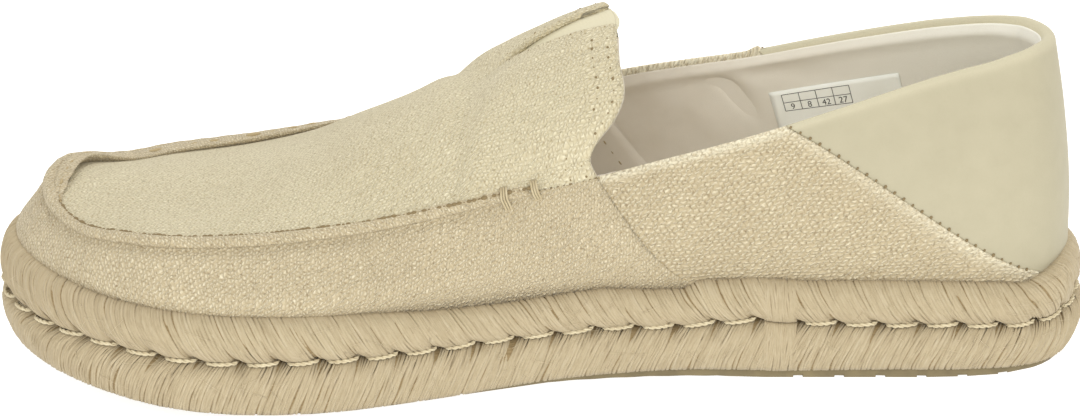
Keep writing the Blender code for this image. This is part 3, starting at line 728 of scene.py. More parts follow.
def weave_group():
    """Plain weave: rows of short slanted floats, shifted by half a float from row to row."""
    group, t, given, result = new_group(
        "plain_weave",
        [("Cloth", VECTOR, None), ("Row", FLOAT, 0.78), ("Float", FLOAT, 1.2),
         ("Slub", FLOAT, 0.5), ("Lean", FLOAT, 0.0)],
        [("Height", FLOAT), ("Gap", FLOAT), ("Crest", FLOAT), ("Tone", FLOAT)])
    u, v = t.split(given["Cloth"])
    # The rows wander and the floats slip, so that no thread runs quite straight.
    wander = (t.noise(given["Cloth"], 0.07) - 0.5) * 2.0
    fine = (t.noise(given["Cloth"], 0.65) - 0.5) * 1.5
    slip = (t.noise(t.join(v * 0.7, u * 0.5), 1.0) - 0.5) * 2.0
    rows = (v + wander + fine) / given["Row"]
    row = t.math("FLOOR", rows)
    within = rows - row - 0.5
    floats = (u + slip) / given["Float"] + (row * 0.5 + t.chance(row, 3.0) * 0.3)
    cell = t.math("FLOOR", floats)
    along = floats - cell - 0.5
    # Each float is a rounded ridge, tilted and lifted a little by its own chance.
    own = t.chance(cell, row)
    other = t.chance(row, cell)
    tilt = along * given["Lean"] * (0.6 + own)
    off = (within - tilt - t.span(other, 0, 1, -0.20, 0.20)) / 0.31
    ridge = t.math("MAXIMUM", 1.0 - off * off, 0.0)
    lump, body = t.wave(floats), t.wave(rows)
    # Slubs: some threads and floats are thicker than others.
    thread = t.noise(t.join(u * 0.05, row * 4.1), 1.0, 1.0)
    swell = 0.55 + (thread + own) * 0.45
    crest = ridge * lump ** 0.9 * ((1.0 - given["Slub"]) + swell * given["Slub"])
    # Dark notches between the ends of the floats, and fuzz over everything. Gap carries painted
    # shade in these notches and between the rows; Crest is where a finish paints a highlight on
    # each float.
    notch = (1.0 - lump) ** 1.6 * body * t.span(other, 0, 1, 0.2, 1.1)
    fuzz = t.noise(t.join(u * 1.6, v * 5.0), 1.0, 2.0)
    t.feed(result["Height"], (body * 0.30 - notch * 0.30) + (crest * 0.45 + fuzz * 0.22))
    t.feed(result["Gap"], notch + (1.0 - body) * 0.42)
    t.feed(result["Crest"], crest)
    t.feed(result["Tone"], thread * 0.5 + own * 0.5)
    return group


def age_group():
    """Slow changes of shade over the piece, and small flecks."""
    group, t, given, result = new_group(
        "shade_drift", [("Colour", COLOUR, None), ("Warm", COLOUR, None), ("Amount", FLOAT, 0.3)],
        [("Colour", COLOUR)])
    slow = t.noise(t.position(), 38.0, 3.0)
    spot = t.noise(t.position(), 420.0, 2.0)
    toned = t.mix(t.span(slow, 0.35, 0.7) * given["Amount"], given["Colour"], given["Warm"])
    fleck = t.span(spot, 0.62, 0.8) * given["Amount"]
    t.feed(result["Colour"], t.mix(fleck, toned, given["Warm"]))
    return group


def fibre_group():
    """Fine fibres drawn out along the first direction of the cloth map."""
    group, t, given, result = new_group(
        "fibres", [("Cloth", VECTOR, None), ("Stretch", FLOAT, 0.40), ("Fineness", FLOAT, 6.0)],
        [("Height", FLOAT), ("Tone", FLOAT)])
    u, v = t.split(given["Cloth"])
    drawn = t.join(u * given["Stretch"], v * given["Fineness"])
    t.feed(result["Height"], t.noise(drawn, 1.0, 3.0, 0.7))
    t.feed(result["Tone"], t.noise(t.join(u * 0.30, v * 1.6), 1.0, 2.0))
    return group


WEAVE, AGE, FIBRE = weave_group(), age_group(), fibre_group()


def finish_material(name, roughness, sheen=0.0, specular=0.3):
    """A new material, its tree and the sockets of its shader."""
    made = bpy.data.materials.new(name)
    made.use_nodes = True
    sockets = made.node_tree.nodes["Principled BSDF"].inputs
    sockets["Roughness"].default_value = roughness
    sockets["Specular IOR Level"].default_value = specular
    sockets["Sheen Weight"].default_value = sheen
    sockets["Sheen Roughness"].default_value = 0.4
    return made, Tree(made.node_tree), sockets


def dress(t, sockets, colour, height, depth, strength=1.0):
    """Feeds a shader its colour, and the relief of its surface, with its depth in millimetres."""
    t.feed(sockets["Base Color"], colour)
    t.feed(sockets["Normal"], t.out("ShaderNodeBump", {"Strength": strength,
                                                       "Distance": depth * MM,
                                                       "Height": height}))


def canvas_material(name, thread, pale, gap, row, float_length, slub, depth=0.45, paling=None):
    """Natural canvas: thick uneven threads with painted highlights on their crests, painted shade
    in the small gaps, and paler with wear and with painted light.
    """
    made, t, sockets = finish_material(name, 0.88, 0.12)
    weave = t.group(WEAVE, Cloth=t.cloth(), Row=row, Float=float_length, Slub=slub, Lean=0.75)
    # The pale colour on each float's crest is a painted highlight; the gap colour, mixed in by the
    # weave's Gap, is painted shade.
    colour = t.mix(weave["Crest"] * t.span(weave["Tone"], 0.2, 0.8, 0.6, 1.0), thread, pale)
    colour = t.mix(weave["Gap"] * 0.70, colour, gap)
    colour = t.mix(t.span(t.noise(t.cloth(), 1.1, 1.0), 0.57, 0.72, 0.0, 0.55), colour, gap)
    if paling:
        speckle = t.span(t.noise(t.cloth(), 1.2, 2.0), 0.36, 0.60, 0.10, 1.0)
        colour = t.mix(t.tone() * speckle, colour, paling)
    aged = t.group(AGE, Colour=colour, Warm=gap, Amount=0.12)
    dress(t, sockets, aged["Colour"], weave["Height"], depth)
    return made


def microfibre_material(shade, light, nap_shade, paling):
    """Smooth brushed microfibre with a faint nap, paler at the collar: rubbed there, and painted
    lighter against the shade on the rim's inside.
    """
    made, t, sockets = finish_material("pale_microfibre", 0.8, 0.1)
    nap = t.noise(t.position(), 2600.0, 2.0)
    colour = t.mix(t.span(t.noise(t.position(), 160.0, 3.0), 0.3, 0.7), shade, light)
    # Paler where the points' tone says: rubbing and painted light at the collar's edge, and painted
    # light over the rim's inner skin.
    colour = t.mix(t.tone(), colour, paling)
    colour = t.mix(t.span(nap, 0.5, 0.8, 0.0, 0.25), colour, nap_shade)
    dress(t, sockets, colour, nap, 0.05, 0.6)
    return made


def lining_material(name, colour, shade, paling=None):
    """Thin smooth lining cloth with a fine twill line, painted lighter towards the heel, and with
    painted shade in the twill's gaps.
    """
    made, t, sockets = finish_material(name, 0.9, 0.15)
    weave = t.group(WEAVE, Cloth=t.cloth(), Row=0.34, Float=0.6, Slub=0.3)
    toned = t.mix(t.span(t.noise(t.position(), 90.0, 3.0), 0.3, 0.75), colour, shade)
    if paling:
        # Painted light: lighter from 30 to 110 mm along x, towards the heel.
        toned = t.mix(t.span(t.split(t.position())[0], 0.03, 0.11), toned, paling)
    # Painted shade in the gaps of the twill.
    toned = t.mix(weave["Gap"] * 0.18, toned, shade)
    dress(t, sockets, toned, weave["Height"], 0.05, 0.6)
    return made


def yarn_material(name, light, mid, dark, toned=False):
    """Twisted fibres, lighter and darker along each yarn, and from yarn to yarn where toned."""
    made, t, sockets = finish_material(name, 0.92, 0.1)
    fibre = t.group(FIBRE, Cloth=t.cloth())
    tone = fibre["Tone"]
    if toned:
        tone = tone * 0.62 + t.tone() * 0.38
    colour = t.mix(t.span(tone, 0.25, 0.5), dark, mid)
    colour = t.mix(t.span(tone, 0.5, 0.75), colour, light)
    # Painted shade: darker where the fibres lie low.
    colour = t.mix(t.span(fibre["Height"], 0.45, 0.3, 0.0, 0.6), colour, dark)
    dress(t, sockets, colour, fibre["Height"], 0.20)
    return made


def rubber_material(shade, light):
    """Dull rubber with a fine grain, paler in patches of wear."""
    made, t, sockets = finish_material("taupe_rubber", 0.7, 0.0, 0.4)
    paling = t.noise(t.position(), 140.0, 3.0)
    t.feed(sockets["Roughness"], t.span(paling, 0.3, 0.7, 0.6, 0.85))
    colour = t.mix(t.span(paling, 0.35, 0.7), shade, light)
    dress(t, sockets, colour, t.noise(t.position(), 1800.0, 2.0), 0.12, 0.7)
    return made


def cork_material(light, shade, speck):
    """Pressed cork crumbs with dark specks."""
    made, t, sockets = finish_material("cork_core", 0.9)
    crumb = t.out("ShaderNodeTexVoronoi", {"Vector": t.position(), "Scale": 520.0}, "Distance")
    colour = t.mix(crumb, light, shade)
    colour = t.mix(t.span(t.noise(t.position(), 900.0), 0.6, 0.75), colour, speck)
    dress(t, sockets, colour, crumb, 0.3)
    return made


def hole_material(name, deep, light):
    """The shaded inside of a needle hole, or ink."""
    made, t, sockets = finish_material(name, 0.95)
    t.feed(sockets["Base Color"], t.mix(t.noise(t.position(), 2400.0), deep, light))
    return made


def elastic_material(light, shade):
    """Flat elastic tape: fine ribs across a smooth knitted ground."""
    made, t, sockets = finish_material("cream_elastic", 0.7, 0.2)
    u, v = t.split(t.cloth())
    knit = t.noise(t.cloth(), 3.0)
    dress(t, sockets, t.mix(knit * 0.5, light, shade), t.wave(u / 0.9) + knit, 0.05, 0.6)
    return made


FINISH = {
    # In each canvas the second colour is the painted highlight on the threads' crests, and the
    # third is the painted shade in their gaps.
    "canvas": canvas_material("natural_canvas", (0.56, 0.475, 0.315), (0.76, 0.685, 0.50),
                              (0.23, 0.168, 0.085), 0.84, 1.30, 0.7),
    # The quarter's last colour is its paler tone: wear at the hem and the collar's edge, and
    # painted light on the collar's inner side.
    "quarter": canvas_material("quarter_canvas", (0.54, 0.455, 0.298), (0.745, 0.672, 0.487),
                               (0.21, 0.153, 0.077), 1.08, 1.80, 0.7, 0.50,
                               paling=(0.80, 0.745, 0.565)),
    "apron": canvas_material("apron_canvas", (0.62, 0.558, 0.385), (0.77, 0.714, 0.527),
                             (0.30, 0.23, 0.12), 0.88, 1.25, 0.5, 0.42),
    # The microfibre's last colour is its paler tone at the collar: rubbing, and painted light on
    # the rim's inside.
    "microfibre": microfibre_material((0.404, 0.368, 0.256), (0.424, 0.387, 0.271),
                                      (0.372, 0.337, 0.226), (0.620, 0.575, 0.415)),
    # The lining's last colour is painted light, laid on towards the heel.
    "lining": lining_material("beige_lining", (0.72, 0.661, 0.558), (0.648, 0.585, 0.477),
                              paling=(0.84, 0.823, 0.737)),
    "label": lining_material("label_tape", (0.93, 0.94, 0.88), (0.86, 0.87, 0.80)),
    "sock": lining_material("insole_cloth", (0.66, 0.57, 0.43), (0.57, 0.48, 0.35)),
    "jute": yarn_material("jute_yarn", (0.505, 0.43, 0.292), (0.455, 0.377, 0.244),
                          (0.38, 0.307, 0.192), toned=True),
    # The rope's ground is dark as painted shade: the shade deep between its yarns.
    "jute_core_painted_shade": yarn_material("jute_ground_painted_shade", (0.36, 0.27, 0.145), (0.29, 0.212, 0.106),
                               (0.20, 0.142, 0.066)),
    "thread": yarn_material("cream_thread", (0.69, 0.615, 0.43), (0.63, 0.55, 0.37),
                            (0.47, 0.385, 0.24)),
    "tack": yarn_material("tack_thread", (0.58, 0.505, 0.34), (0.50, 0.42, 0.265),
                          (0.42, 0.34, 0.20)),
    "hair": yarn_material("loose_jute", (0.70, 0.60, 0.42), (0.62, 0.52, 0.34),
                          (0.50, 0.40, 0.25)),
    "elastic": elastic_material((0.619, 0.572, 0.404), (0.568, 0.516, 0.353)),
    "rubber": rubber_material((0.17, 0.135, 0.07), (0.24, 0.195, 0.105)),
    "cork": cork_material((0.50, 0.34, 0.19), (0.30, 0.19, 0.10), (0.16, 0.10, 0.06)),
    "hole": hole_material("needle_hole", (0.16, 0.12, 0.06), (0.28, 0.21, 0.11)),
    "pit": hole_material("shaded_canvas", (0.34, 0.265, 0.145), (0.46, 0.37, 0.22)),
    "ink": hole_material("label_ink", (0.05, 0.05, 0.05), (0.10, 0.10, 0.09)),
}


# ---- stitches ------------------------------------------------------------------------------
def stitch_row_tree():
    """Geometry Nodes: small rounded grains at even steps along lines, turned with the surface."""
    tree, t, given, result = new_group(
        "stitch_row",
        [("Lines", "NodeSocketGeometry", None), ("Pitch", FLOAT, 0.003), ("Length", FLOAT, 0.001),
         ("Width", FLOAT, 0.0005), ("Thickness", FLOAT, 0.0005), ("Uneven", FLOAT, 0.2),
         ("Finish", "NodeSocketMaterial", None)],
        [("Stitches", "NodeSocketGeometry")], "GeometryNodeTree")
    curve = t.out("GeometryNodeMeshToCurve", {"Mesh": given["Lines"]})
    even = t.out("GeometryNodeResampleCurve", {"Curve": curve, "Length": given["Pitch"]},
                 mode="LENGTH")
    up = t.out("GeometryNodeInputNamedAttribute", {"Name": "up"}, "Attribute",
               data_type="FLOAT_VECTOR")
    ahead = t.out("FunctionNodeAlignRotationToVector",
                  {"Vector": t.out("GeometryNodeInputTangent")}, axis="X")
    stand = t.out("FunctionNodeAlignRotationToVector", {"Rotation": ahead, "Vector": up},
                  axis="Z", pivot_axis="X")
    grain = t.wires(t.node("GeometryNodeMeshUVSphere",
                           {"Segments": 8, "Rings": 6, "Radius": 0.5}).outputs)
    mapped = t.out("GeometryNodeStoreNamedAttribute",
                   {"Geometry": grain["Mesh"], "Name": "cloth", "Value": grain["UV Map"]},
                   data_type="FLOAT2", domain="CORNER")
    chance = t.node("FunctionNodeRandomValue", {"Seed": 7}, data_type="FLOAT")
    least, most = [socket for socket in chance.inputs if socket.type == "VALUE"][:2]
    t.feed(least, 1.0 - given["Uneven"])
    t.feed(most, 1.0 + given["Uneven"])
    drawn = [socket for socket in chance.outputs if socket.type == "VALUE"][0]
    body = t.join(given["Length"], given["Width"], given["Thickness"])
    size = t.out("ShaderNodeVectorMath", {0: body, "Scale": drawn}, operation="SCALE")
    spots = t.out("GeometryNodeInstanceOnPoints", {"Points": even, "Instance": mapped,
                                                   "Rotation": stand, "Scale": size})
    real = t.out("GeometryNodeRealizeInstances", {0: spots})
    t.feed(result[0], t.out("GeometryNodeSetMaterial",
                            {"Geometry": real, "Material": given["Finish"]}))
    return tree


STITCHES = stitch_row_tree()


def finished_mesh(guide):
    """An object's finished mesh; the object itself is removed."""
    bpy.context.view_layer.update()
    graph = bpy.context.evaluated_depsgraph_get()
    made = bpy.data.meshes.new_from_object(guide.evaluated_get(graph))
    bpy.data.objects.remove(guide)
    return made


def stitch_rows(name, rows, finish, **sizes):
    """One piece of many stitches: rows of points with the way out of the surface at each."""
    points = np.concatenate([row for row, _ in rows]) * MM
    ups = np.concatenate([up for _, up in rows])
    edges, first = [], 0
    for row, _ in rows:
        edges += [(first + i, first + i + 1) for i in range(len(row) - 1)]
        first += len(row)
    mesh = bpy.data.meshes.new(name + "_lines")
    mesh.from_pydata(points.tolist(), edges, [])
    up = mesh.attributes.new("up", "FLOAT_VECTOR", "POINT")
    up.data.foreach_set("vector", ups.astype(np.float32).ravel())
    guide = bpy.data.objects.new(name + "_guide", mesh)
    SHOE.objects.link(guide)
    modifier = guide.modifiers.new("stitches", "NODES")
    modifier.node_group = STITCHES
    values = {label: size * MM for label, size in sizes.items()}
    values["Uneven"] = sizes["Uneven"]
    values["Finish"] = FINISH[finish]
    for socket in STITCHES.interface.items_tree:
        if socket.in_out == "INPUT" and socket.name in values:
            modifier[socket.identifier] = values[socket.name]
    made = finished_mesh(guide)
    made.shade_smooth()
    place(name, made)


# ---- the upper -----------------------------------------------------------------------------
WALL_LOW = np.linspace(0.0, 1.0, 22)        # rows of the wall, up to the first arc below its top
# Arcs: lengths below a top edge, or in from a hem, where the rows of a grid stand closer.
WALL_ARCS = np.array([3.2, 2.4, 1.8, 1.3, 0.9, 0.55, 0.25, 0.0])
COLLAR_ARCS = np.array([6.0, 5.0, 4.2, 3.4, 2.7, 2.1, 1.6, 1.2, 0.8, 0.5, 0.25, 0.08, 0.0])
CANVAS_THICK = 1.15
HEM_ARCS = np.array([0.0, 0.15, 0.35, 0.6, 0.9, 1.3, 1.9, 2.5])
ROLL_DEEP = 1.6             # height of the collar's rolled edge
HEEL_PAD = 1.9              # padding at the heel's back
# Soft ridges and hollows, by height, place and width: over folded edges, and below a top edge.
FOLDED_EDGE, QUARTER_HEM, SLIT_HEM = (0.30, 1.3, 0.9), (0.22, 1.4, 1.3), (0.25, 1.2, 1.1)
COUNTER_DIP = (0.14, 0.0, 0.6)
UNDER_ROLL, BELOW_ROLL = (0.75, 1.5, 1.6), (0.20, 5.5, 2.2)
LINING_PAD = (1.1, 4.6, 2.3)
ELASTIC_RIBS = ((0.25, 1.2, 0.40), (0.25, 2.5, 0.40), (0.25, 3.8, 0.40))
SEAM_ROWS = np.array([0.0, 0.004, 0.010, 0.018, 0.028])     # shares of a panel beside its seam
EDGE_ARCS = np.array([0.0, 0.25, 0.55, 0.9, 1.3, 1.8, 2.4])
SEAM_KNOT = np.array([0.0, 0.0, 0.9])       # the lateral seam stands up a little on the rim
LINING_SEAM = 0.922         # the quarter line where the two linings meet
LINING_EDGE = 6             # rows of the collar's edge that the lining leaves to the collar
TONGUE_ROWS = (2.5, 6.8)    # how far inside the tongue's edge its two rows of holes run
SEAM_POINTS = 420           # points along the moccasin seam
CLEAR_OF_SLIT, FAR = 7, 50.0        # from this front line on, the slit counts as that far away
NEAR_EDGE = 8.0             # the cloth is followed round an open edge from this far inside it


def rounded(distance, outer, inner):
    """Both skins of a sheet, drawn together over a round edge."""
    middle, half = (outer + inner) / 2, np.maximum(np.abs(outer - inner) / 2, 1e-6)
    t = np.clip(distance / half, 0.0, 1.0)
    swell = (outer - inner) / 2 * np.sqrt(1 - (1 - t) ** 2)
    return middle + swell, middle - swell


def over_edge(distance, half):
    """Length of cloth from the tip of a round edge to a point this far inside it."""
    curved = half * np.arccos(1 - np.clip(distance / half, 0.0, 1.0))
    return curved + np.maximum(0.0, distance - half)


def with_foot(side, lines, points):
    """The wall's points with one more row under each line, down behind the rope."""
    along = np.asarray(lines[0])
    feet = ring_points(ring_share(side, along), -foot_inset(along) - 0.1, FEATHER_Z)
    return np.concatenate([feet[:, None], points], axis=1)


def cloth_map(points):
    """Lengths along and up a grid, so that the weave keeps its size."""
    u = path_run(points[:, points.shape[1] // 2])
    v = runs(points)
    return np.stack([np.broadcast_to(u[:, None], v.shape), v], axis=-1)


def flat_climb(points, rounds):
    """Length up the wall so far, less what runs along the outline."""
    plan = ring_points(rounds, 0.0, 0.0)
    ahead = unit(ring_points(rounds + 0.002, 0.0, 0.0) - plan)
    step = np.diff(points, axis=1)
    level = np.sum(step * 0.5 * (ahead[:, 1:] + ahead[:, :-1]), axis=-1)
    up = np.sqrt(np.maximum(np.sum(step ** 2, axis=-1) - level ** 2, 0.0))
    return np.concatenate([np.zeros((len(points), 1)), np.cumsum(up, axis=1)], axis=1)


def flat_map(points, rounds, more=0.0):
    """The wall laid out flat round the sole's outline, so that the threads keep one direction."""
    plan = ring_points(rounds, 0.0, 0.0)[..., :2]
    out = ring_points(rounds, 1.0, 0.0)[..., :2] - plan
    return plan - out * (flat_climb(points, rounds) + more)[..., None]


def wall_panel(pairs, arcs=WALL_ARCS):
    """Grid of the wall over runs of lines, each given as (side, lines), and its places round."""
    grids, rounds = [], []
    for side, lines in pairs:
        shares = shares_to_top(side, lines, WALL_LOW[:-1], arcs)
        grids.append(with_foot(side, lines, line_points(side, lines, shares)))
        foot, top, bend = (np.asarray(v, float)[:, None] for v in lines)
        along = foot + (top - foot) * np.concatenate([0 * foot, shares], axis=1) ** bend
        rounds.append(ring_share(side, along))
    return np.concatenate(grids), np.concatenate(rounds)


def edge_lengths(points):
    """Length from the first column, row by row, and from the last."""
    steps = np.linalg.norm(np.diff(points, axis=0), axis=2)
    run = np.concatenate([np.zeros((1, points.shape[1])), np.cumsum(steps, axis=0)])
    return run, run[-1] - run


def top_lengths(points):
    """Length from each point of a grid up to the end of its row."""
    run = runs(points)
    return run[:, -1:] - run


def heel_pad(points, top):
    """Padding at the back of the collar, on the inside, fading down the wall."""
    return HEEL_PAD * ease(points[..., 0], 122.0, 140.0) * ease(-top, -30.0, -12.0)


def collar_edge(points, top, outer):
    """Both skins near the collar's edge, drawn together over one soft roll."""
    pad = heel_pad(points, top)
    deep = ROLL_DEEP + 0.4 * pad
    inner = -(WALL + 0.25 + pad)
    middle, half = (outer + inner) / 2, (outer - inner) / 2
    swell = half * np.sqrt(1 - (1 - np.clip(top / deep, 0.0, 1.0)) ** 2)
    under = ease(top, deep + 0.4, deep + 1.2)
    return middle + swell, (middle - swell) * (1 - under) - CANVAS_THICK * under


def spread(count):
    """Shares from 0 to 1 that start close together, where an edge needs fine rows."""
    even = np.linspace(0.0, 1.0, count)
    return np.concatenate([SEAM_ROWS[:-1], SEAM_ROWS[-1] + (1 - SEAM_ROWS[-1]) * even])


def pucker(points, spacing, depth, seed):
    """Small soft ridges that stand at right angles to a gathered seam."""
    rng = np.random.default_rng(seed)
    run = edge_lengths(points)[0][:, -1]
    phase = run / spacing + 0.6 * np.sin(run / 17.0) + rng.uniform(0, 3)
    return depth * np.sin(2 * math.pi * phase)[:, None]


def vamp_wall():
    """The canvas wall from the medial quarter seam round the toe to the lateral one."""
    front = spread(210) * LAST_FRONT
    pairs = [("medial", front_lines("medial", front)),
             ("lateral", front_lines("lateral", front[-2::-1]))]
    points, rounds = wall_panel(pairs)
    start, end = edge_lengths(points)
    seam, top = np.minimum(start, end), top_lengths(points)
    outer = VAMP_PROUD * ease(runs(points), 4.0, 6.5)
    fold = ridge(seam, FOLDED_EDGE)
    outer, inner = rounded(seam, outer + fold, outer - CANVAS_THICK)
    # The wall is drawn in under the roll, swells below it, and is gathered round the toe.
    past_tack = ease(seam, 22.0, 42.0)
    outer = outer - past_tack * (ridge(top, UNDER_ROLL) - ridge(top, BELOW_ROLL))
    gather = pucker(points, 5.2, 0.20, 3) * ease(seam, 90.0, 190.0)
    outer = outer + gather * mound(top - 4.0, 4.0)
    outer = outer + folds(points, WALL_FOLDS)
    one_sheet("vamp_wall", "canvas", "canvas", ["upper"], points, outer, inner,
              flat_map(points, rounds)[..., ::-1])


def quarter(side):
    """The canvas quarter between the heel panel's slanted seam and the vamp, with its pale hem."""
    part = np.concatenate([np.linspace(0.0, 1.0, 100), [1.004, 1.012]])
    dense, rounds = wall_panel([(side, quarter_lines(side, part))], COLLAR_ARCS)
    # The grid is read again along its rows, with close columns in the hem beside the seam.
    rows = dense.transpose(1, 0, 2)
    length = runs(rows)[:, -1:]
    rest = HEM_ARCS[-1] + (length - HEM_ARCS[-1]) * np.linspace(0.0, 1.0, 90)[None, 1:]
    arcs = np.concatenate([np.broadcast_to(HEM_ARCS, (len(rows), len(HEM_ARCS))), rest], axis=1)
    points = at_arcs(rows, arcs).transpose(1, 0, 2)
    share = np.stack([np.interp(a, r, k) for a, r, k in zip(arcs, runs(rows), rounds.T)]).T
    climb = flat_climb(points, share)
    seam, top = arcs.T, climb[:, -1:] - climb
    outer = ridge(seam, QUARTER_HEM) + folds(points, WALL_FOLDS)
    outer, inner = collar_edge(points, top, outer)
    outer, inner = rounded(seam, outer, inner)
    over, under = flat_map(points, share), flat_map(points, share, 2 * top + 0.6)
    # The hem is paler from wear. The collar's edge is paler from wear and from painted light, and
    # the whole inner skin is painted lighter against the shade on the rim's inside.
    low = ease(top, 2.0, 34.0)
    hem_wear = mound(seam, 3.2 + 2.6 * low) * (0.50 + 0.22 * low)
    wear = np.maximum(hem_wear, 0.90 * ease(-top, -2.6, -0.4))
    if side == "lateral":
        points = points + SEAM_KNOT * np.exp(-(seam / 2.0) ** 2 - (top / 1.6) ** 2)[..., None]
    one_sheet("quarter_" + side, "quarter", "canvas", ["upper"], points, outer, inner, over,
              flip=side == "lateral", under_uv=under, wear=wear, under_wear=0.8)


def heel_panel():
    """The microfibre heel piece, from the lateral slanted seam round the heel to the medial."""
    part = spread(70)
    pairs = [("lateral", counter_lines("lateral", 1.0 - part)),
             ("medial", counter_lines("medial", (1.0 - part)[-2::-1]))]
    points, rounds = wall_panel(pairs, COLLAR_ARCS)
    start, end = edge_lengths(points)
    seam, top = np.minimum(start, end), top_lengths(points)
    outer, inner = collar_edge(points, top, -COUNTER_SUNK)
    outer = outer - ridge(seam, COUNTER_DIP)
    # Paler near the collar's edge from rubbing and from painted light; the inner skin is painted
    # lighter against the shade on the rim's inside.
    one_sheet("heel_panel", "microfibre", "microfibre", ["heel_counter", "upper"],
              points, outer, inner, flat_map(points, rounds),
              wear=0.45 * ease(-top, -4.0, -0.3), under_wear=0.45 + 0.55 * ease(top, 0.0, 1.2))


# Soft folds of the lining: side, width, depth, and the line's stops as (along, share of height).
LINING_FOLDS = [
    ("lateral", 2.2, -1.1, [(0.362, 0.86), (0.330, 0.81), (0.314, 0.64), (0.299, 0.47)]),
    ("lateral", 3.0, 0.7, [(0.352, 0.95), (0.318, 0.86), (0.296, 0.66)]),
    ("lateral", 3.5, -0.5, [(0.318, 0.93), (0.270, 0.80), (0.235, 0.74)]),
    ("lateral", 4.0, 0.4, [(0.390, 0.80), (0.350, 0.60), (0.330, 0.35)]),
    ("medial", 4.0, -0.7, [(0.330, 0.90), (0.290, 0.70), (0.250, 0.55)]),
    ("medial", 5.0, 0.5, [(0.200, 0.85), (0.120, 0.60)]),
]
# The same for the wall's canvas.
WALL_FOLDS = [
    ("medial", 7.0, -0.35, [(0.56, 0.55), (0.68, 0.70), (0.78, 0.62)]),
    ("medial", 6.0, 0.25, [(0.50, 0.45), (0.60, 0.30), (0.72, 0.32)]),
    ("medial", 6.0, -0.30, [(0.40, 0.75), (0.33, 0.62), (0.27, 0.45)]),
    ("medial", 5.0, 0.25, [(0.36, 0.55), (0.28, 0.35), (0.20, 0.20)]),
    ("lateral", 7.0, -0.35, [(0.55, 0.60), (0.68, 0.68), (0.80, 0.55)]),
    ("lateral", 6.0, -0.30, [(0.40, 0.72), (0.31, 0.55)]),
]


def folds(points, table):
    """Offsets that make soft troughs and ridges along given lines on the wall."""
    offset = np.zeros(points.shape[:2])
    for side, width, depth, stops in table:
        along, share = np.array(stops).T
        even = np.linspace(0.0, 1.0, 40)
        knots = np.linspace(0.0, 1.0, len(stops))
        line = wall_points(side, smooth_curve(knots, along, even), smooth_curve(knots, share, even))
        gap = np.linalg.norm(points[:, :, None, :] - line[None, None, :, :], axis=-1)
        nearest = np.argmin(gap, axis=2)
        fade = np.sin(math.pi * (0.08 + 0.84 * even[nearest]))
        offset += depth * fade * mound(np.min(gap, axis=2), width)
    return offset


def collar_lining():
    """The lining from one quarter seam round the heel to the other, with a padded upper edge."""
    part = np.linspace(LINING_SEAM, 0.0, 60)
    turn = np.linspace(1.0, 0.0, 60)
    pairs = [("lateral", quarter_lines("lateral", part)),
             ("lateral", counter_lines("lateral", turn[1:])),
             ("medial", counter_lines("medial", turn[-2::-1])),
             ("medial", quarter_lines("medial", part[-2::-1]))]
    points, rounds = wall_panel(pairs, COLLAR_ARCS)
    top = top_lengths(points)[:, :-LINING_EDGE]
    points, rounds = points[:, :-LINING_EDGE], rounds[:, :-LINING_EDGE]
    start, end = edge_lengths(points)
    sag = 0.5 * np.sin(points[:, :, 0] / 9.0) * ease(top, 5.0, 15.0)
    padding = heel_pad(points, top) + ridge(top, LINING_PAD)
    inner = -WALL - 0.22 - padding - folds(points, LINING_FOLDS) * ease(top, 4.0, 11.0) - 0.25 * sag
    outer, inner = rounded(np.minimum(start, end), -WALL + 0.15, inner)
    one_sheet("collar_lining", "lining", "lining", ["upper"], points, outer, inner,
              flat_map(points, rounds))


# The size label on the lateral lining: its corners as (along, share), and its own lengths.
LABEL_CORNERS = ((0.292, 0.680), (0.186, 0.705), (0.281, 0.360))    # upper two, lower left
LABEL_WIDE, LABEL_TALL = 34.0, 13.0
LABEL_SIZES = ("9", "8", "42", "27")
LABEL_LEFT, LABEL_TOP, LABEL_RIGHT, LABEL_FOOT = 3.0, 1.3, 20.6, 6.1    # its ruled table
CELL_WIDE, CELL_TALL = 4.4, 2.4
NUMBER_SIZE, NUMBER_LEFT, NUMBER_FOOT = 2.3, 5.2, 5.75


def on_label(across, down, off):
    """Places on the size label, by the lengths across it and down it, off the wall's middle."""
    (left, high), (right, high_right), (low_left, low) = LABEL_CORNERS
    a, d = across / LABEL_WIDE, down / LABEL_TALL
    along = left + (right - left) * a + (low_left - left) * d
    share = high + (high_right - high) * a + (low - high) * d
    step = 0.001
    here = wall_points("lateral", along, share)
    normal = unit(np.cross(wall_points("lateral", along + step, share) - here,
                           wall_points("lateral", along, share + step) - here))
    return here + normal * np.where(normal[..., 1:2] > 0, -off, off)


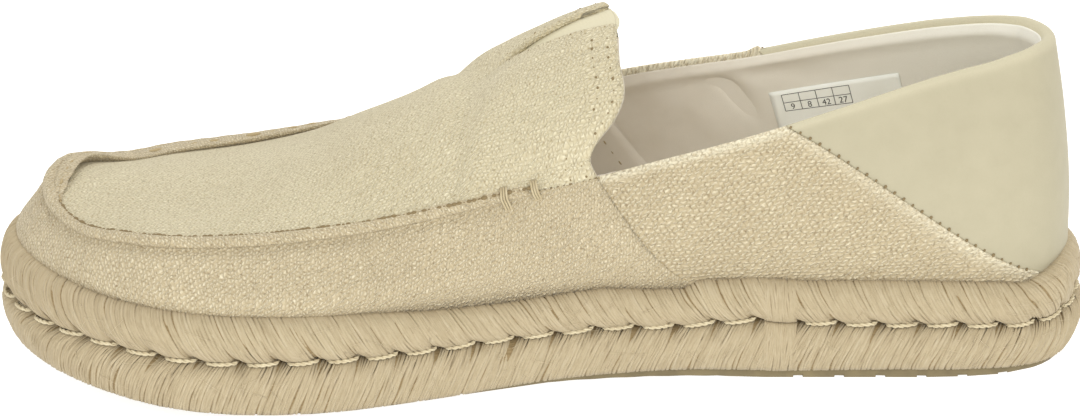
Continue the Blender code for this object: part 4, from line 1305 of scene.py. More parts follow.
def size_label():
    """The woven size label on the lateral lining: a ruled table with plain numbers."""
    across, down = np.meshgrid(np.linspace(0, LABEL_WIDE, 25), np.linspace(LABEL_TALL, 0, 10),
                               indexing="ij")
    one_sheet("size_label", "label", "lining", (), on_label(across, down, WALL + 0.48), 0.08, -0.08,
              np.stack([across, -down], axis=-1))

    columns = [LABEL_LEFT + CELL_WIDE * k for k in range(5)]
    rows = [LABEL_TOP + CELL_TALL * k for k in range(3)]
    lines = [((x, LABEL_TOP), (x, LABEL_FOOT)) for x in columns]
    lines += [((LABEL_LEFT, y), (LABEL_RIGHT, y)) for y in rows]
    t = np.linspace(0.0, 1.0, 16)
    paths = np.stack([on_label(x0 + (x1 - x0) * t, y0 + (y1 - y0) * t, WALL + 0.60)
                      for (x0, y0), (x1, y1) in lines])
    tubes("label_rules", paths, 0.09, (0.0, -1.0, 0.0), 4, "ink")

    points, faces = [], []
    for column, number in enumerate(LABEL_SIZES):
        face = bpy.data.curves.new("number", "FONT")
        face.body, face.size, face.align_x = number, NUMBER_SIZE, "CENTER"
        shape = bpy.data.objects.new("number", face)
        SHOE.objects.link(shape)
        flat = finished_mesh(shape)
        x, y = np.array([v.co[:2] for v in flat.vertices]).T
        faces += [[i + len(points) for i in polygon.vertices] for polygon in flat.polygons]
        middle = NUMBER_LEFT + CELL_WIDE * column
        points += on_label(middle + x, NUMBER_FOOT - y, WALL + 0.63).tolist()
    make_piece("label_numbers", points, faces, "ink")


def apron_half(side, front, count, inset=0.0):
    """Half of the apron: from the seam to its crest, or to the slit's edge less an inset."""
    dense = ribs(side, front)
    end = runs(dense)[:, -1] - slit_half_width(front) - inset * (front < SLIT_TIP)
    shares = np.linspace(0.0, 1.0, count)
    arcs = np.stack([np.concatenate([(stop - EDGE_ARCS[-1]) * shares, stop - EDGE_ARCS[-2::-1]])
                     for stop in end])
    return at_arcs(dense, arcs)


def apron_map(points, side, front):
    """The apron's cloth map: length up the crest, and length across from it."""
    x = np.linspace(CREST[0][0], CREST[-1][0] + 8, 400)
    z = through(CREST, 1, x)
    crest_run = np.concatenate([[0.0], np.cumsum(np.hypot(np.diff(x), np.diff(z)))])
    u = np.interp(points[..., 0], x, crest_run)
    slope = np.interp(points[..., 0], x, np.gradient(z, x))[:, ::-1]
    step = np.diff(points[:, ::-1], axis=1)
    rise = step[..., 2] - 0.5 * (slope[:, 1:] + slope[:, :-1]) * step[..., 0]
    sideways = np.abs(step[..., 1]) / np.maximum(np.hypot(step[..., 0], step[..., 1]), 1e-6)
    cross = np.cumsum(np.hypot(step[..., 1], rise * sideways), axis=1)
    v = np.concatenate([np.zeros((len(points), 1)), cross], axis=1)[:, ::-1]
    v = v + slit_half_width(front)[:, None]
    return np.stack([u, -TURN[side] * v], axis=-1)


def off_wall(side, lines, shares, height):
    """Points standing off the wall along some lines, with the way out at each."""
    points = line_points(side, lines, shares)
    out = way_out(points, side)
    return points + out * height, out


def counter_ticks():
    """The dark needle ticks on the heel panel, hard against the hem of each quarter."""
    rows = []
    for side in SIDES:
        part = np.array([0.0, 0.05])
        shares = np.linspace(0.03, 0.985, 60)
        points, out = off_wall(side, quarter_lines(side, part), shares, 0.0)
        away = unit(points[0] - points[1])
        rows.append((points[0] + away * 0.50 - out[0] * 0.05, out[0]))
    stitch_rows("counter_ticks", rows, "hole", Pitch=2.9, Length=0.75,
                Width=0.95, Thickness=0.7, Uneven=0.2)


def seam_dots():
    """Needle holes beside the vamp's seam, and along the flat seam from tack to throat."""
    seams, flats = [], []
    for side in SIDES:
        shares = np.linspace(0.03, 0.99, 50)
        points, out = off_wall(side, quarter_lines(side, np.array([0.97, 1.0])), shares, 0.05)
        seams.append((points[1] - unit(points[1] - points[0]) * 0.30, out[1]))
        front = np.linspace(0.05, REAR_TACK - 0.1, 24)
        points, out = off_wall(side, front_lines(side, front), np.array([0.97, 1.0]), 0.9)
        flats.append((points[:, 1], out[:, 1]))
    stitch_rows("seam_dots", seams, "pit", Pitch=2.0, Length=0.7,
                Width=0.35, Thickness=0.35, Uneven=0.4)
    stitch_rows("flat_seam_dots", flats, "hole", Pitch=1.7, Length=0.7,
                Width=0.40, Thickness=0.4, Uneven=0.4)


def lining_dots():
    """The lining's lockstitch beside its front seam."""
    rows = []
    for side in SIDES:
        shares = np.linspace(0.05, 0.9, 40)
        points, out = off_wall(side, quarter_lines(side, np.array([0.985, 1.0])), shares, 0.0)
        rows.append((points[1] - out[1] * (WALL + 0.15), -out[1]))
    stitch_rows("lining_dots", rows, "pit", Pitch=3.3, Length=1.3,
                Width=0.4, Thickness=0.3, Uneven=0.3)


def tongue_rows():
    """Two rows of needle holes inside the tongue's edge and one along each side of its slit."""
    rows = []
    for side in SIDES:
        front = np.linspace(0.0, 1.6, 24)
        points = apron_half(side, front, 40)
        out = way_out(points, side)
        run = edge_lengths(points)[0]
        for distance in TONGUE_ROWS:
            row, way = [], []
            for j in range(1, points.shape[1] - 9):
                row.append([np.interp(distance, run[:, j], points[:, j, k]) for k in range(3)])
                way.append([np.interp(distance, run[:, j], out[:, j, k]) for k in range(3)])
            row, way = np.array(row), unit(np.array(way))
            rows.append((row + way * (VAMP_PROUD + 0.12), way))
        edge = slit_edge(side, 40, 1.6)[6:-2]
        near = slit_edge(side, 40, 0.8)[6:-2]
        way = unit(np.cross(unit(near - edge), np.gradient(edge, axis=0)))
        way = way * np.sign(way[:, 2:])
        rows.append((edge + way * (VAMP_PROUD + 0.10), way))
    stitch_rows("tongue_rows", rows, "hole", Pitch=3.0, Length=0.7,
                Width=0.6, Thickness=0.4, Uneven=0.4)


def roll_stitches():
    """The sunk stitch line between roll and apron: dashes on the medial side, pits on the other."""
    path, normal, across, run, share = seam_path(TACK_FROM)
    toe, size = toe_fold(share), seam_size(share)
    reach = (3.05 + 2.05 * toe - 1.3 * ease(-share, -0.20, -0.03)) * size
    rise = (1.05 - 0.20 * toe + 0.85 * ease(-share, -0.20, -0.03)) * size
    line = path + across * reach[:, None] + normal * rise[:, None]
    for name, part, finish, sizes in (
            ("roll_dashes", share < 0.47, "hole", (1.35, 1.25, 0.85, 0.60)),
            ("toe_dashes", (share > 0.47) & (share < 0.58), "pit", (2.3, 1.7, 0.55, 0.45)),
            ("roll_pits", share > 0.58, "pit", (5.3, 2.8, 1.3, 0.80))):
        pitch, length, width, thickness = sizes
        rows = [(line[part], normal[part])]
        stitch_rows(name, rows, finish, Pitch=pitch, Length=length, Width=width,
                    Thickness=thickness, Uneven=0.65)


def slit_edge(side, count=40, inset=0.0):
    """The edge of the tongue's slit on one side, from the tongue's edge to the slit's tip."""
    front = np.linspace(0.0, 1.0, count) ** 1.3 * SLIT_TIP
    dense = ribs(side, front)
    stop = runs(dense)[:, -1] - slit_half_width(front) - inset
    return at_arcs(dense, stop[:, None])[:, 0]


def wrapped_map(uv, tongue, slit, side):
    """The apron's cloth map for one skin and the other, carried round its open edges."""
    half = WALL / 2
    maps = []
    for turn in (1.0, -1.0):
        u = uv[..., 0] + np.where(tongue < NEAR_EDGE, tongue - turn * over_edge(tongue, half), 0.0)
        grow = np.where(slit < NEAR_EDGE, turn * over_edge(slit, half) - slit, 0.0)
        v = uv[..., 1] - TURN[side] * grow
        maps.append(np.stack([u, v], axis=-1))
    return maps


def away_from(points, line):
    """Least distance from each point of a grid to the points of a line."""
    gap = points[:, :, None, :] - line[None, None, :, :]
    return np.sqrt(np.min(np.sum(gap * gap, axis=-1), axis=2))


# The apron's soft hollows and swells.
APRON_FORMS = [
    # x       y      along across height
    (-96.0,  -14.0,  16.0,   9.0,  -0.35),
    (-88.0,   20.0,  18.0,   8.0,  -0.30),
    (-62.0,   -6.0,  15.0,  12.0,   0.30),
    (-40.0,  -24.0,  13.0,   7.0,  -0.45),
    (-22.0,  -26.0,   9.0,   8.0,   0.35),
    (-34.0,   22.0,  14.0,   8.0,  -0.40),
    (4.0,    -22.0,   8.0,   6.0,   0.30),
]


def crumple(points):
    """Height added by the apron's soft hollows and swells."""
    x, y = points[..., 0], points[..., 1]
    return sum(height * np.exp(-((x - x0) / along) ** 2 - ((y - y0) / across) ** 2)
               for x0, y0, along, across, height in APRON_FORMS)


def seam_size(share):
    """The roll's size round the seam: slim on the medial side, full on the far one."""
    size = 0.70 + 0.10 * ease(share, 0.06, 0.30) + 0.20 * ease(share, 0.46, 0.54)
    size = size - 0.16 * mound(share - 0.43, 0.04)
    return size + 0.28 * ease(share, 0.54, 0.64) - 0.58 * ease(share, 0.78, 0.97)


def toe_fold(share):
    """Where the roll has its second fold: 1 from the toe tip on along the far side."""
    return ease(share, 0.45, 0.53) * ease(-share, -0.94, -0.84)


def apron():
    """The apron and its tongue: one canvas panel inside the moccasin seam, slit at the top."""
    front = spread(170) * LAST_FRONT
    edge_line = np.concatenate([slit_edge(side, 120) for side in SIDES])
    sheet = Cloth()
    for side in SIDES:
        points = apron_half(side, front, 48)
        tongue = edge_lengths(points)[0]
        slit = np.where((front < CLEAR_OF_SLIT)[:, None], away_from(points, edge_line), FAR)
        edge = np.minimum(tongue, slit)
        hem = 0.12 * (1 - ease(tongue, 7.2, 8.2)) + ridge(slit, SLIT_HEM)
        outer = VAMP_PROUD + hem + crumple(points)
        outer, inner = rounded(edge, outer, -CANVAS_THICK)
        over, under = wrapped_map(apron_map(points, side, front), tongue, slit, side)
        sheet.add(points, outer, inner, over, flip=side == "lateral", under_uv=under)
    sheet.build("apron", "apron", ["upper"])


def vamp_lining():
    """Lining of the wall and the apron, ending a little inside the tongue's edges."""
    front = np.linspace(0.0, 1.0, 90) * LAST_FRONT
    sheet = Cloth()
    back = np.array([LINING_SEAM - 0.02, 0.96])
    pairs = [("medial", quarter_lines("medial", back)),
             ("medial", front_lines("medial", front)),
             ("lateral", front_lines("lateral", front[-2::-1])),
             ("lateral", quarter_lines("lateral", back[::-1]))]
    points, rounds = wall_panel(pairs)
    sheet.add(points, -WALL + 0.5, -WALL - 0.1, flat_map(points, rounds))
    for side in SIDES:
        points = apron_half(side, front, 22, 3.2)
        tongue = edge_lengths(points)[0]
        outer, inner = rounded(tongue, -WALL + 0.5, -WALL - 0.1)
        sheet.add(points, outer, inner, apron_map(points, side, front), flip=side == "lateral")
    sheet.build("vamp_lining", "lining", ["upper"])


# The roll's section, from the wall over to the apron, and its twice folded one round the toe.
ROLL_SECTION = [
    # across  height  at the toe: across  height
    (-1.25,  -0.20,   -1.70,  -0.35),
    (-1.45,   0.70,   -2.05,   0.65),
    (-1.15,   1.50,   -1.60,   1.60),
    (-0.45,   2.05,   -0.55,   2.25),
    (0.50,    2.25,    0.30,   2.45),
    (1.45,    2.15,    1.10,   2.10),
    (2.30,    1.80,    1.70,   1.35),
    (2.90,    1.25,    2.15,   1.15),
    (3.20,    0.70,    2.80,   1.62),
    (3.30,    0.15,    3.60,   1.68),
    (3.25,   -0.25,    4.80,   1.20),
    (2.90,   -0.60,    5.95,   0.55),
    (2.30,   -0.90,    7.10,  -0.40),
    (0.80,   -1.00,    4.20,  -1.10),
    (-0.60,  -0.80,    0.00,  -0.90),
]


def seam_path(low):
    """The moccasin seam, from a front line on the medial side round the toe to the lateral one.

    Gives its points, the outward normal and the direction across to the apron at each, and how
    far along it each one lies, as a length and as a share.
    """
    front = np.linspace(low, LAST_FRONT, SEAM_POINTS)
    path, normal = [], []
    for side in SIDES:
        lines = front_lines(side, front)
        top = line_points(side, lines, np.array([0.93, 1.0]))
        rib = ribs(side, front)
        first = at_arcs(rib, np.full((SEAM_POINTS, 1), 2.5))[:, 0]
        up = unit(top[:, 1] - top[:, 0])
        ahead = unit(np.gradient(top[:, 1], axis=0))
        across = unit(first - top[:, 1])
        out = unit((unit(np.cross(up, ahead)) + unit(np.cross(across, ahead))) * TURN[side])
        path.append(top[:, 1])
        normal.append(out)
    path = np.concatenate([path[0], path[1][-2::-1]])
    normal = np.concatenate([normal[0], normal[1][-2::-1]])
    for _ in range(6):
        normal[1:-1] = unit(normal[:-2] + 2 * normal[1:-1] + normal[2:])
    ahead = unit(np.gradient(path, axis=0))
    across = unit(np.cross(ahead, normal))
    run = path_run(path)
    return path, normal, across, run, run / run[-1]


def moccasin_seam():
    """The gathered roll between wall and apron, with a second fold round the toe."""
    path, normal, across, run, share = seam_path(TACK_FROM - 0.1)
    toe, size = toe_fold(share), seam_size(share)
    ends = 0.30 + 0.70 * ease(np.minimum(run, run[-1] - run), 0.0, 3.5)
    rng = np.random.default_rng(5)
    stops = np.arange(0.0, run[-1] + 3.0, 3.0)
    gather = np.interp(run, stops, rng.normal(0.0, 0.02, len(stops)))
    gather = gather + 0.015 * np.sin(2 * math.pi * run / 5.9)
    table = np.array(ROLL_SECTION)
    knots = np.arange(len(table) + 1)
    fine = np.linspace(0, len(table), 34, endpoint=False)
    plain_reach, plain_rise, toe_reach, toe_rise = (
        smooth_curve(knots, np.append(table[:, k], table[0, k]), fine)[None, :] for k in range(4))
    toe = toe[:, None]
    reach = plain_reach * (1 - toe) + toe_reach * toe
    rise = plain_rise * (1 - toe) + toe_rise * toe
    reach = reach * (size * (1 + gather))[:, None]
    rise = rise * (size * ends * (1 + gather))[:, None]
    points = (path[:, None, :] + across[:, None, :] * reach[..., None]
              + normal[:, None, :] * rise[..., None])
    girth = runs(points)
    uv = np.stack([girth, np.broadcast_to(run[:, None], girth.shape)], axis=-1)
    count, around = reach.shape
    index = np.arange(count * around).reshape(count, around)
    after = np.roll(index, -1, axis=1)
    faces = np.stack([index[:-1], index[1:], after[1:], after[:-1]], axis=-1).reshape(-1, 4)
    faces = faces.tolist() + [index[0].tolist(), index[-1, ::-1].tolist()]
    make_piece("moccasin_seam", points.reshape(-1, 3), faces, "canvas",
               ["upper"], uv)


def bar_tacks():
    """Two short bars of thread over the roll on each side, where the seam turns flat."""
    for side in SIDES:
        paths, facing = [], []
        for centre, reach in ((REAR_TACK, 2.0), (FRONT_TACK, 3.0)):
            front = centre + np.linspace(-0.07, 0.07, 3)
            lines = front_lines(side, front)
            shares = shares_to_top(side, lines, [], np.array([reach + 0.8, reach, 1.1, 0.4]))
            wall = line_points(side, lines, shares)
            dense = ribs(side, front)
            top = at_arcs(dense, np.tile([0.5, 1.4, 2.4, 3.1], (len(front), 1)))
            row = np.concatenate([wall, top], axis=1)
            out = way_out(row, side)
            height = np.array([0.1, 0.9, 1.5, 1.8, 2.1, 2.0, 1.4, 0.5])
            paths.append(row + out * height[None, :, None])
            facing.append(out)
        paths, facing = np.concatenate(paths), np.concatenate(facing)
        tubes("bar_tack_thread_" + side, paths, 0.31, facing, 8, "tack",
              ["bar_tack_" + side])


def gore():
    """The elastic under the tongue's slit, with its back edge rolled and ribs woven in."""
    front = np.concatenate([[0.0, 0.04, 0.09, 0.16], np.linspace(0.25, SLIT_TIP + 0.6, 30)])
    halves = []
    for side in SIDES:
        dense = ribs(side, front)
        length = runs(dense)[:, -1]
        reach = slit_half_width(front) + 3.6
        arcs = length[:, None] - reach[:, None] * np.linspace(1.0, 0.0, 9)[None, :]
        halves.append(at_arcs(dense, arcs))
    points = np.concatenate([halves[0], halves[1][:, -2::-1]], axis=1)
    tab = np.exp(-(np.linspace(-1.35, 1.35, points.shape[1])[None, :, None]) ** 4)
    back = points[:1] + np.array([1.0, 0.0, -0.25])[None, None, :] * np.array(
        [1.5, 1.1, 0.7, 0.35])[:, None, None] * tab
    points = np.concatenate([back, points])
    run = edge_lengths(points)[0]
    ribbing = sum(ridge(run, rib) for rib in ELASTIC_RIBS)
    outer, inner = rounded(run, -CANVAS_THICK + 0.15 + ribbing, -WALL + 0.2)
    one_sheet("tongue_elastic", "elastic", "elastic", ["gore"], points, outer, inner,
              cloth_map(points))


# ---- the sole ------------------------------------------------------------------------------
STRANDS = int(round(PERIMETER / 10.9))      # lobes of the braid once round the shoe
STATIONS = np.arange(560)[:, None] / 560    # sections of a ring once round the shoe
YARN_STEP, YARN_POINTS, YARN_RADIUS = 0.57, 13, (0.48, 0.58)
YARN_SWAY, YARN_DIPS = 0.14, 0.08
# In the groove the yarns of a strand are drawn together, stand proud, and are pinched between two.
GROOVE_REACH, STRAND_PULL, STRAND_SWELL = 0.28, 1.1, 0.45
PINCH_WIDTH, PINCH_DEPTH = 0.12, 2.0
HAIRS = 420
# The groove's thread: its two plies' radius, how far each winds off the middle, and its turns.
PLY_RADIUS, PLY_OFF, PLY_TURNS = 0.38, 0.26, 2.5
JOINT_X, JOINT_HALF, JOINT_YARNS = 60.5, 4.0, 18    # where the rope's ends meet, medially
# Where the braid is drawn in: depth, share of the way round past the toe tip, and width.
TOE_TUCKS = ((1.0, 0.0, 0.04), (1.6, 0.05, 0.035))
HEEL_FLAT = 0.9             # how much flatter the upper course lies against the heel's back
# Lay of the yarns: slant, bend, share of sunk ones, and their least and greatest reach.
UPPER_LAY = (8.6, 1.30, 0.17, 0.35, 1.0)
LOWER_LAY = (6.4, 1.45, 0.30, 0.18, 0.60)
# Sections of the two courses, from the groove outwards and round to their far edges.
UPPER_SECTION = [
    # share   out    above the groove
    (0.00,   -1.60,   0.20),
    (0.10,    0.05,   0.70),
    (0.24,    1.40,   2.10),
    (0.42,    2.10,   4.40),
    (0.60,    1.95,   7.00),
    (0.76,    1.00,   9.15),
    (0.89,   -1.00,  10.65),
    (1.00,   -3.70,  10.95),
]
LOWER_SECTION = [
    # share   out    below the groove
    (0.00,   -1.60,   0.20),
    (0.10,    0.05,   0.75),
    (0.24,    1.45,   2.20),
    (0.42,    2.10,   4.60),
    (0.60,    2.00,   7.30),
    (0.76,    1.35,   9.80),
    (0.90,    0.35,  12.00),
    (1.00,   -0.35,  13.30),
]
# The braid rises and sinks along the shoe: x, and how far its groove and its edges stand up.
BRAID_RISE = [
    # x       groove  top    bottom
    (-144.3,  -4.5,   0.3,  -1.7),
    (-141.0,  -3.5,   0.4,  -1.7),
    (-135.0,  -2.5,   0.6,  -1.2),
    (-128.0,  -1.3,   0.8,  -0.9),
    (-118.0,  -0.2,   0.8,  -0.8),
    (-105.0,   0.0,   1.5,  -0.8),
    (-92.0,    0.0,   1.7,  -0.8),
    (-63.0,    0.5,   1.5,  -0.8),
    (-50.0,    0.2,   0.9,  -0.8),
    (-38.0,    0.0,  -0.6,  -0.8),
    (-26.0,    0.0,  -1.5,  -0.8),
    (-12.0,    0.0,  -2.0,  -0.4),
    (0.0,      0.0,  -1.2,   0.2),
    (14.0,     0.8,   0.0,   0.8),
    (26.0,     0.6,  -0.9,   1.2),
    (35.0,     0.7,  -0.9,   1.4),
    (39.5,     1.2,   1.7,   1.5),
    (55.0,     2.3,   2.3,   1.2),
    (67.0,     1.5,   1.5,   1.0),
    (90.0,     0.8,   1.5,   1.4),
    (106.0,    0.8,   1.2,   1.3),
    (118.0,    0.0,   0.3,   1.1),
    (127.0,   -0.8,  -1.2,   0.6),
    (133.0,   -1.0,   0.5,   0.2),
    (138.0,   -0.8,   2.0,   0.0),
    (144.3,   -0.6,   2.3,   0.0),
]


def braid_rise(x, column):
    """How far the groove (1) or the braid's top (2) or bottom edge (3) stands up at x."""
    table = np.array(BRAID_RISE)
    return np.interp(x, table[:, 0], table[:, column])


def toe_tuck(share):
    """How far the braid is drawn in round the toe and its outer corner."""
    gap = share % 1.0 - TOE_SHARE
    return sum(ridge(gap, tuck) for tuck in TOE_TUCKS)


def course_points(upward, share, t, out_more=0.0):
    """Points over one course of the braid: t is 0 in the groove and 1 at its far edge."""
    share, t, out_more = np.broadcast_arrays(share, t, out_more)
    section = UPPER_SECTION if upward else LOWER_SECTION
    out = through(section, 1, t.ravel()).reshape(t.shape) + out_more - toe_tuck(share)
    rise = through(section, 2, t.ravel()).reshape(t.shape)
    points = ring_points(share, out, GROOVE_Z + rise if upward else GROOVE_Z - rise)
    x = points[..., 0].copy()
    edge = braid_rise(x, 2) * t if upward else braid_rise(x, 3) * ease(t, 0.35, 1.0)
    points[..., 2] += braid_rise(x, 1) * (1 - t) + edge
    if upward:
        points[..., 0] -= HEEL_FLAT * ease(x, 137.0, 143.0) * ease(t, 0.0, 0.3)
    return points


def lay_yarns(name, upward, along, more, radii, tones, node):
    """Yarns over one course of the braid, each along its own way round and up."""
    t = np.linspace(0.0, 1.0, along.shape[1])[None, :]
    paths = course_points(upward, along / PERIMETER, t, more)
    ahead = ring_points(along / PERIMETER, more + 1.0, GROOVE_Z)
    facing = unit(ahead - ring_points(along / PERIMETER, more, GROOVE_Z))
    rise = np.array([0.0, 0.0, 1.0 if upward else -0.4])
    facing = unit(facing + rise * ease(t, 0.5, 1.0)[..., None])
    tubes(name, paths, radii, facing, 5, "jute", [node], tones)


def rope_joint(name, upward, seed, node):
    """The smooth bundle of yarns over the place where the rope's ends meet."""
    rng = np.random.default_rng(seed)
    beside = np.linspace(-1.0, 1.0, JOINT_YARNS)[:, None]
    t = np.linspace(0.0, 1.0, YARN_POINTS)[None, :]
    sway = 0.25 * np.sin(2 * math.pi * (t * rng.uniform(0.5, 1.2, (JOINT_YARNS, 1)) + beside))
    along = joint_share() * PERIMETER + JOINT_HALF * beside + 0.9 * (t - 0.5) + sway
    more = 0.85 * np.sqrt(1.0 - 0.96 * beside ** 2) - 0.35 + 0.9 * mound(t, 0.12)
    lay_yarns(name, upward, along, more, 0.50, rng.normal(0.52, 0.06, JOINT_YARNS), node)


def joint_share():
    """Where on the way round the rope's ends meet."""
    medial = np.arange(len(GROOVE)) < TOE_SHARE * len(GROOVE)
    return np.argmin(np.where(medial, np.abs(GROOVE[:, 0] - JOINT_X), 1e9)) / len(GROOVE)


def rope_course(name, upward, seed, node):
    """One course: its ground, and the yarns laid slantwise over it in pinched strands."""
    rng = np.random.default_rng(seed)
    section = np.linspace(0.0, 1.0, 16)[None, :]
    body = course_points(upward, STATIONS, section, 0.20 - 1.7 * mound(section, 0.30))
    back = ring_points(STATIONS, np.full(2, -ROPE_DEPTH - 0.6), GROOVE_Z)
    back[:, 0, 2], back[:, 1, 2] = body[:, -1, 2], body[:, 0, 2]
    loops = np.concatenate([body, back], axis=1)
    if upward:
        loops = loops[:, ::-1]
    # The ground's dark finish is painted shade, standing for the shade deep between the yarns.
    ring_loft(name + "_ground", loops, "jute_core_painted_shade", [node])

    # Each yarn has its own place, slant and sway, and is pinched in where two strands meet.
    count = int(PERIMETER / YARN_STEP)
    slope, bend, cracked, least, most = UPPER_LAY if upward else LOWER_LAY
    t = np.linspace(0.0, 1.0, YARN_POINTS)[None, :]
    start = (np.arange(count) + rng.uniform(-0.15, 0.15, count)) * PERIMETER / count
    slant = slope + rng.normal(0.0, 0.25, count)
    phase = (start / PERIMETER * STRANDS % 1.0)[:, None]
    pinch = mound(np.minimum(phase, 1 - phase), PINCH_WIDTH)
    near = mound(t, GROOVE_REACH)
    along = start[:, None] + slant[:, None] * (1 - (1 - t) ** bend)
    along = along + near * (0.5 - phase) * STRAND_PULL
    along = along + YARN_SWAY * np.sin(2 * math.pi * (t * rng.uniform(0.6, 1.6, (count, 1))
                                                      + rng.uniform(0, 1, (count, 1))))
    dips = np.sin(2 * math.pi * (t * rng.uniform(1.0, 2.2, (count, 1))
                                 + rng.uniform(0, 1, (count, 1))))
    # Some yarns are sunk, so that dark cracks stand between their neighbours.
    crack = (rng.random((count, 1)) < cracked) * rng.uniform(0.2, 0.55, (count, 1))
    crack = crack * (1 - ease(t / rng.uniform(least, most, (count, 1)), 0.7, 1.0))
    more = near * (STRAND_SWELL * np.sin(math.pi * phase) - PINCH_DEPTH * pinch)
    more = more + YARN_DIPS * dips - crack
    more = more + rng.normal(0.0, 0.035, (count, 1))
    radii = rng.uniform(*YARN_RADIUS, (count, 1)) * (0.55 + 0.45 * ease(t, 0.0, 0.45))
    tones = rng.normal(0.5, 0.15, count)
    # The yarns are darker towards the toe: painted shade where less light reaches.
    tones = tones - 0.22 * ease(-ring_points(start / PERIMETER, 0.0, 0.0)[:, 0], 60.0, 140.0)
    lay_yarns(name + "_yarns", upward, along, more, radii, tones, node)


def loose_hairs():
    """Stray jute fibres that stand off the braid."""
    rng = np.random.default_rng(31)
    count = HAIRS
    t = np.linspace(0.0, 1.0, 6)[None, :]
    share = rng.uniform(0.0, 1.0, (count, 1))
    low = rng.uniform(0.1, 0.8, (count, 1))
    reach = rng.normal(0.0, 4.5, (count, 1))
    share = share + reach * t / PERIMETER
    rise = np.clip(low + rng.normal(0.0, 0.25, (count, 1)) * t, 0.03, 0.97)
    off = 0.45 + rng.uniform(0.1, 1.1, (count, 1)) * np.sin(
        math.pi * t * rng.uniform(0.4, 1.0, (count, 1)))
    upper = course_points(True, share, rise, off)
    lower = course_points(False, share, rise, off)
    paths = np.where((np.arange(count) % 2 == 0)[:, None, None], upper, lower)
    radii = rng.uniform(0.04, 0.08, (count, 1)) * (1.0 - 0.6 * t)
    tubes("loose_hairs", paths, radii, (0.0, 0.0, 1.0), 4, "hair")


def groove_stitches():
    """The running stitch in the groove: a short twisted thread over each strand of the braid."""
    number = np.arange(STRANDS)
    skip = np.abs((number + 0.5) / STRANDS - joint_share()) * PERIMETER < JOINT_HALF + 1.0
    number = number[~skip]
    t = np.linspace(0.0, 1.0, 15)[None, :]
    share = (number[:, None] + 0.10 + 0.80 * t) / STRANDS
    arch = np.sin(math.pi * t) ** 0.30
    turn = 2 * math.pi * PLY_TURNS * t
    paths = []
    for ply in (0.0, math.pi):
        out = -1.0 + 2.05 * arch + PLY_OFF * np.cos(turn + ply)
        z = GROOVE_Z + PLY_OFF * np.sin(turn + ply) + 0.75 - 0.70 * t
        path = ring_points(share, out, z)
        path[..., 2] += braid_rise(path[..., 0], 1)
        paths.append(path)
    paths = np.concatenate(paths)
    radii = PLY_RADIUS * (0.5 + 0.5 * np.sin(math.pi * (0.1 + 0.8 * t)))
    tubes("groove_stitches", paths, radii, (0.0, 0.0, 1.0), 6, "thread")


def sole_edge():
    """The rubber's own rim, showing as a thin dark line below the braid."""
    rim = np.array([-1.9, -1.5, -1.5, -1.9, -2.6, -2.6])
    z = np.array([0.35, 0.7, 2.2, 2.6, 2.6, 0.35])
    out = rim + 0.12 * np.sin(STATIONS * 2 * math.pi * 67)
    points = ring_points(STATIONS, out - toe_tuck(STATIONS), z)
    ring_loft("sole_edge", points, "rubber")


SOCKLINER_THICK = 3.4


def sockliner():
    """The padded insole, slightly crowned and rising a little to its edge."""
    along = np.concatenate([np.linspace(0, 0.04, 8)[:-1], np.linspace(0.04, 0.96, 90),
                            np.linspace(0.96, 1.0, 8)[1:]])
    inset = FOOT_INSET + WALL + 0.5
    left = ring_points(ring_share("medial", along), -inset, FEATHER_Z + INSOLE_THICK)
    right = ring_points(ring_share("lateral", along), -inset, FEATHER_Z + INSOLE_THICK)
    even = np.linspace(-1.0, 1.0, 41)
    across = (0.5 + 0.5 * np.sign(even) * (1 - (1 - np.abs(even)) ** 1.4))[None, :, None]
    points = left[:, None] * (1 - across) + right[:, None] * across
    points[..., 2] = FEATHER_Z + INSOLE_THICK + lift(points[..., 0])
    rim = np.concatenate([left, right[::-1]])
    edge = away_from(points, rim)
    outer = 0.5 * mound(edge, 7.0)
    outer, inner = rounded(np.minimum(edge, 2.0), outer, -SOCKLINER_THICK)
    outer = outer + 0.25 * ease(edge, 8.0, 26.0)
    one_sheet("sockliner", "sock", "lining", ["insole"], points, outer, inner, points[..., :2])


# ---- studio --------------------------------------------------------------------------------
FLOOR_REACH = 6.0
LAMPS = [
    # name    size        power  place
    ("key",  (1.4, 1.0),  5.8,  (0.45, -1.15, 0.95)),
    ("fill", (1.2, 1.0),  7.2,  (-0.35, -1.45, 0.65)),
    ("back", (1.2, 0.6),  7.7,  (0.1, 0.9, 1.2)),
]
LAMPS_AIM = Vector((0.0, 0.0, 0.04))
# The camera: what it looks at, how far it stands away, and its angles round and up.
LOOK_AT, DISTANCE = Vector((-1.85, -15.8, 44.4)) * MM, 1578.7 * MM
AZIMUTH, ELEVATION = math.radians(-5.0), math.radians(23.3)
SENSOR, LENS = 36.0, 197.33


def pale_floor(scene):
    """A wide pale floor that lies under the sole and takes no part in the shoe."""
    mesh = bpy.data.meshes.new("floor")
    reach = FLOOR_REACH
    mesh.from_pydata([(-reach, -reach, 0), (reach, -reach, 0), (reach, reach, 0),
                      (-reach, reach, 0)], [], [(0, 1, 2, 3)])
    made, t, sockets = finish_material("pale_floor", 0.9, 0.0, 0.1)
    t.feed(sockets["Base Color"],
           t.mix(t.noise(t.position(), 3.0), (0.50, 0.50, 0.498), (0.53, 0.53, 0.527)))
    t.feed(sockets["Emission Color"], (1.0, 1.0, 1.0))
    t.feed(sockets["Emission Strength"], 0.84)
    mesh.materials.append(made)
    floor = bpy.data.objects.new("floor", mesh)
    scene.collection.objects.link(floor)


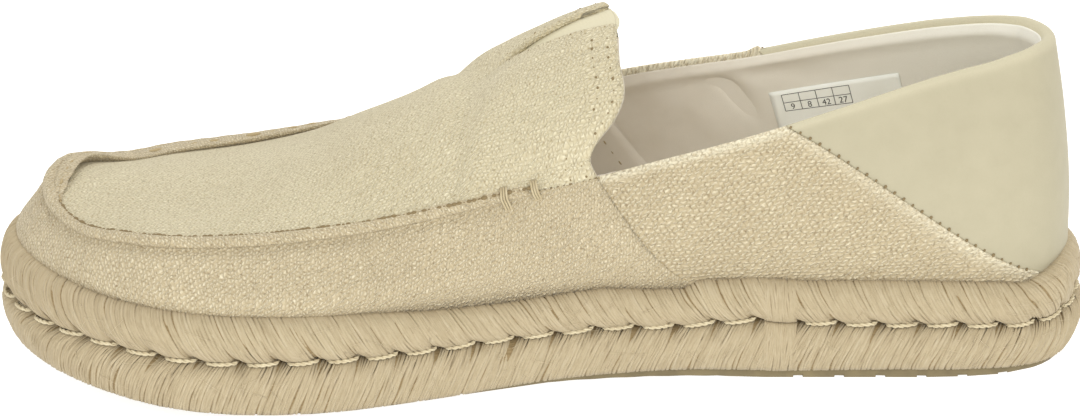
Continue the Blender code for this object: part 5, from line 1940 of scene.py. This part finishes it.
def soft_light(scene):
    """An even warm surround and three large soft lamps."""
    scene.world = bpy.data.worlds.new("soft_box")
    scene.world.use_nodes = True
    surround = scene.world.node_tree.nodes["Background"].inputs
    surround["Color"].default_value = (1.0, 0.985, 0.955, 1)
    surround["Strength"].default_value = 0.92
    for name, size, power, place_at in LAMPS:
        lamp = bpy.data.lights.new(name, "AREA")
        lamp.shape = "RECTANGLE"
        lamp.size, lamp.size_y = size
        lamp.energy = power
        light = bpy.data.objects.new(name, lamp)
        light.location = place_at
        light.rotation_euler = (LAMPS_AIM - Vector(place_at)).to_track_quat("-Z", "Y").to_euler()
        scene.collection.objects.link(light)


def camera(scene):
    """A long lens from the medial side, a little from above."""
    lens = bpy.data.cameras.new("camera")
    lens.sensor_width, lens.lens = SENSOR, LENS
    lens.clip_start, lens.clip_end = 0.1, 30.0
    back = Vector((math.sin(AZIMUTH) * math.cos(ELEVATION),
                   -math.cos(AZIMUTH) * math.cos(ELEVATION), math.sin(ELEVATION)))
    eye = bpy.data.objects.new("camera", lens)
    eye.location = LOOK_AT + back * DISTANCE
    eye.rotation_euler = (-back).to_track_quat("-Z", "Y").to_euler()
    scene.collection.objects.link(eye)
    scene.camera = eye


def studio():
    """A pale floor, soft light from above and in front, and the camera."""
    scene = bpy.context.scene
    pale_floor(scene)
    soft_light(scene)
    camera(scene)
    scene.view_settings.view_transform = "Standard"


# ---- assembly ------------------------------------------------------------------------------
vamp_wall()
quarter("medial")
quarter("lateral")
heel_panel()
collar_lining()
size_label()
apron()
vamp_lining()
moccasin_seam()
bar_tacks()
gore()
counter_ticks()
seam_dots()
lining_dots()
tongue_rows()
roll_stitches()
rope_course("upper_course", True, 11, "rope_upper_course")
rope_course("lower_course", False, 12, "rope_lower_course")
rope_joint("upper_joint", True, 21, "rope_upper_course")
rope_joint("lower_joint", False, 22, "rope_lower_course")
loose_hairs()
groove_stitches()
sole_edge()
sockliner()
for node, finish in (("midsole", "cork"), ("outsole", "rubber")):
    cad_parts[node].data.materials.clear()
    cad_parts[node].data.materials.append(FINISH[finish])
studio()
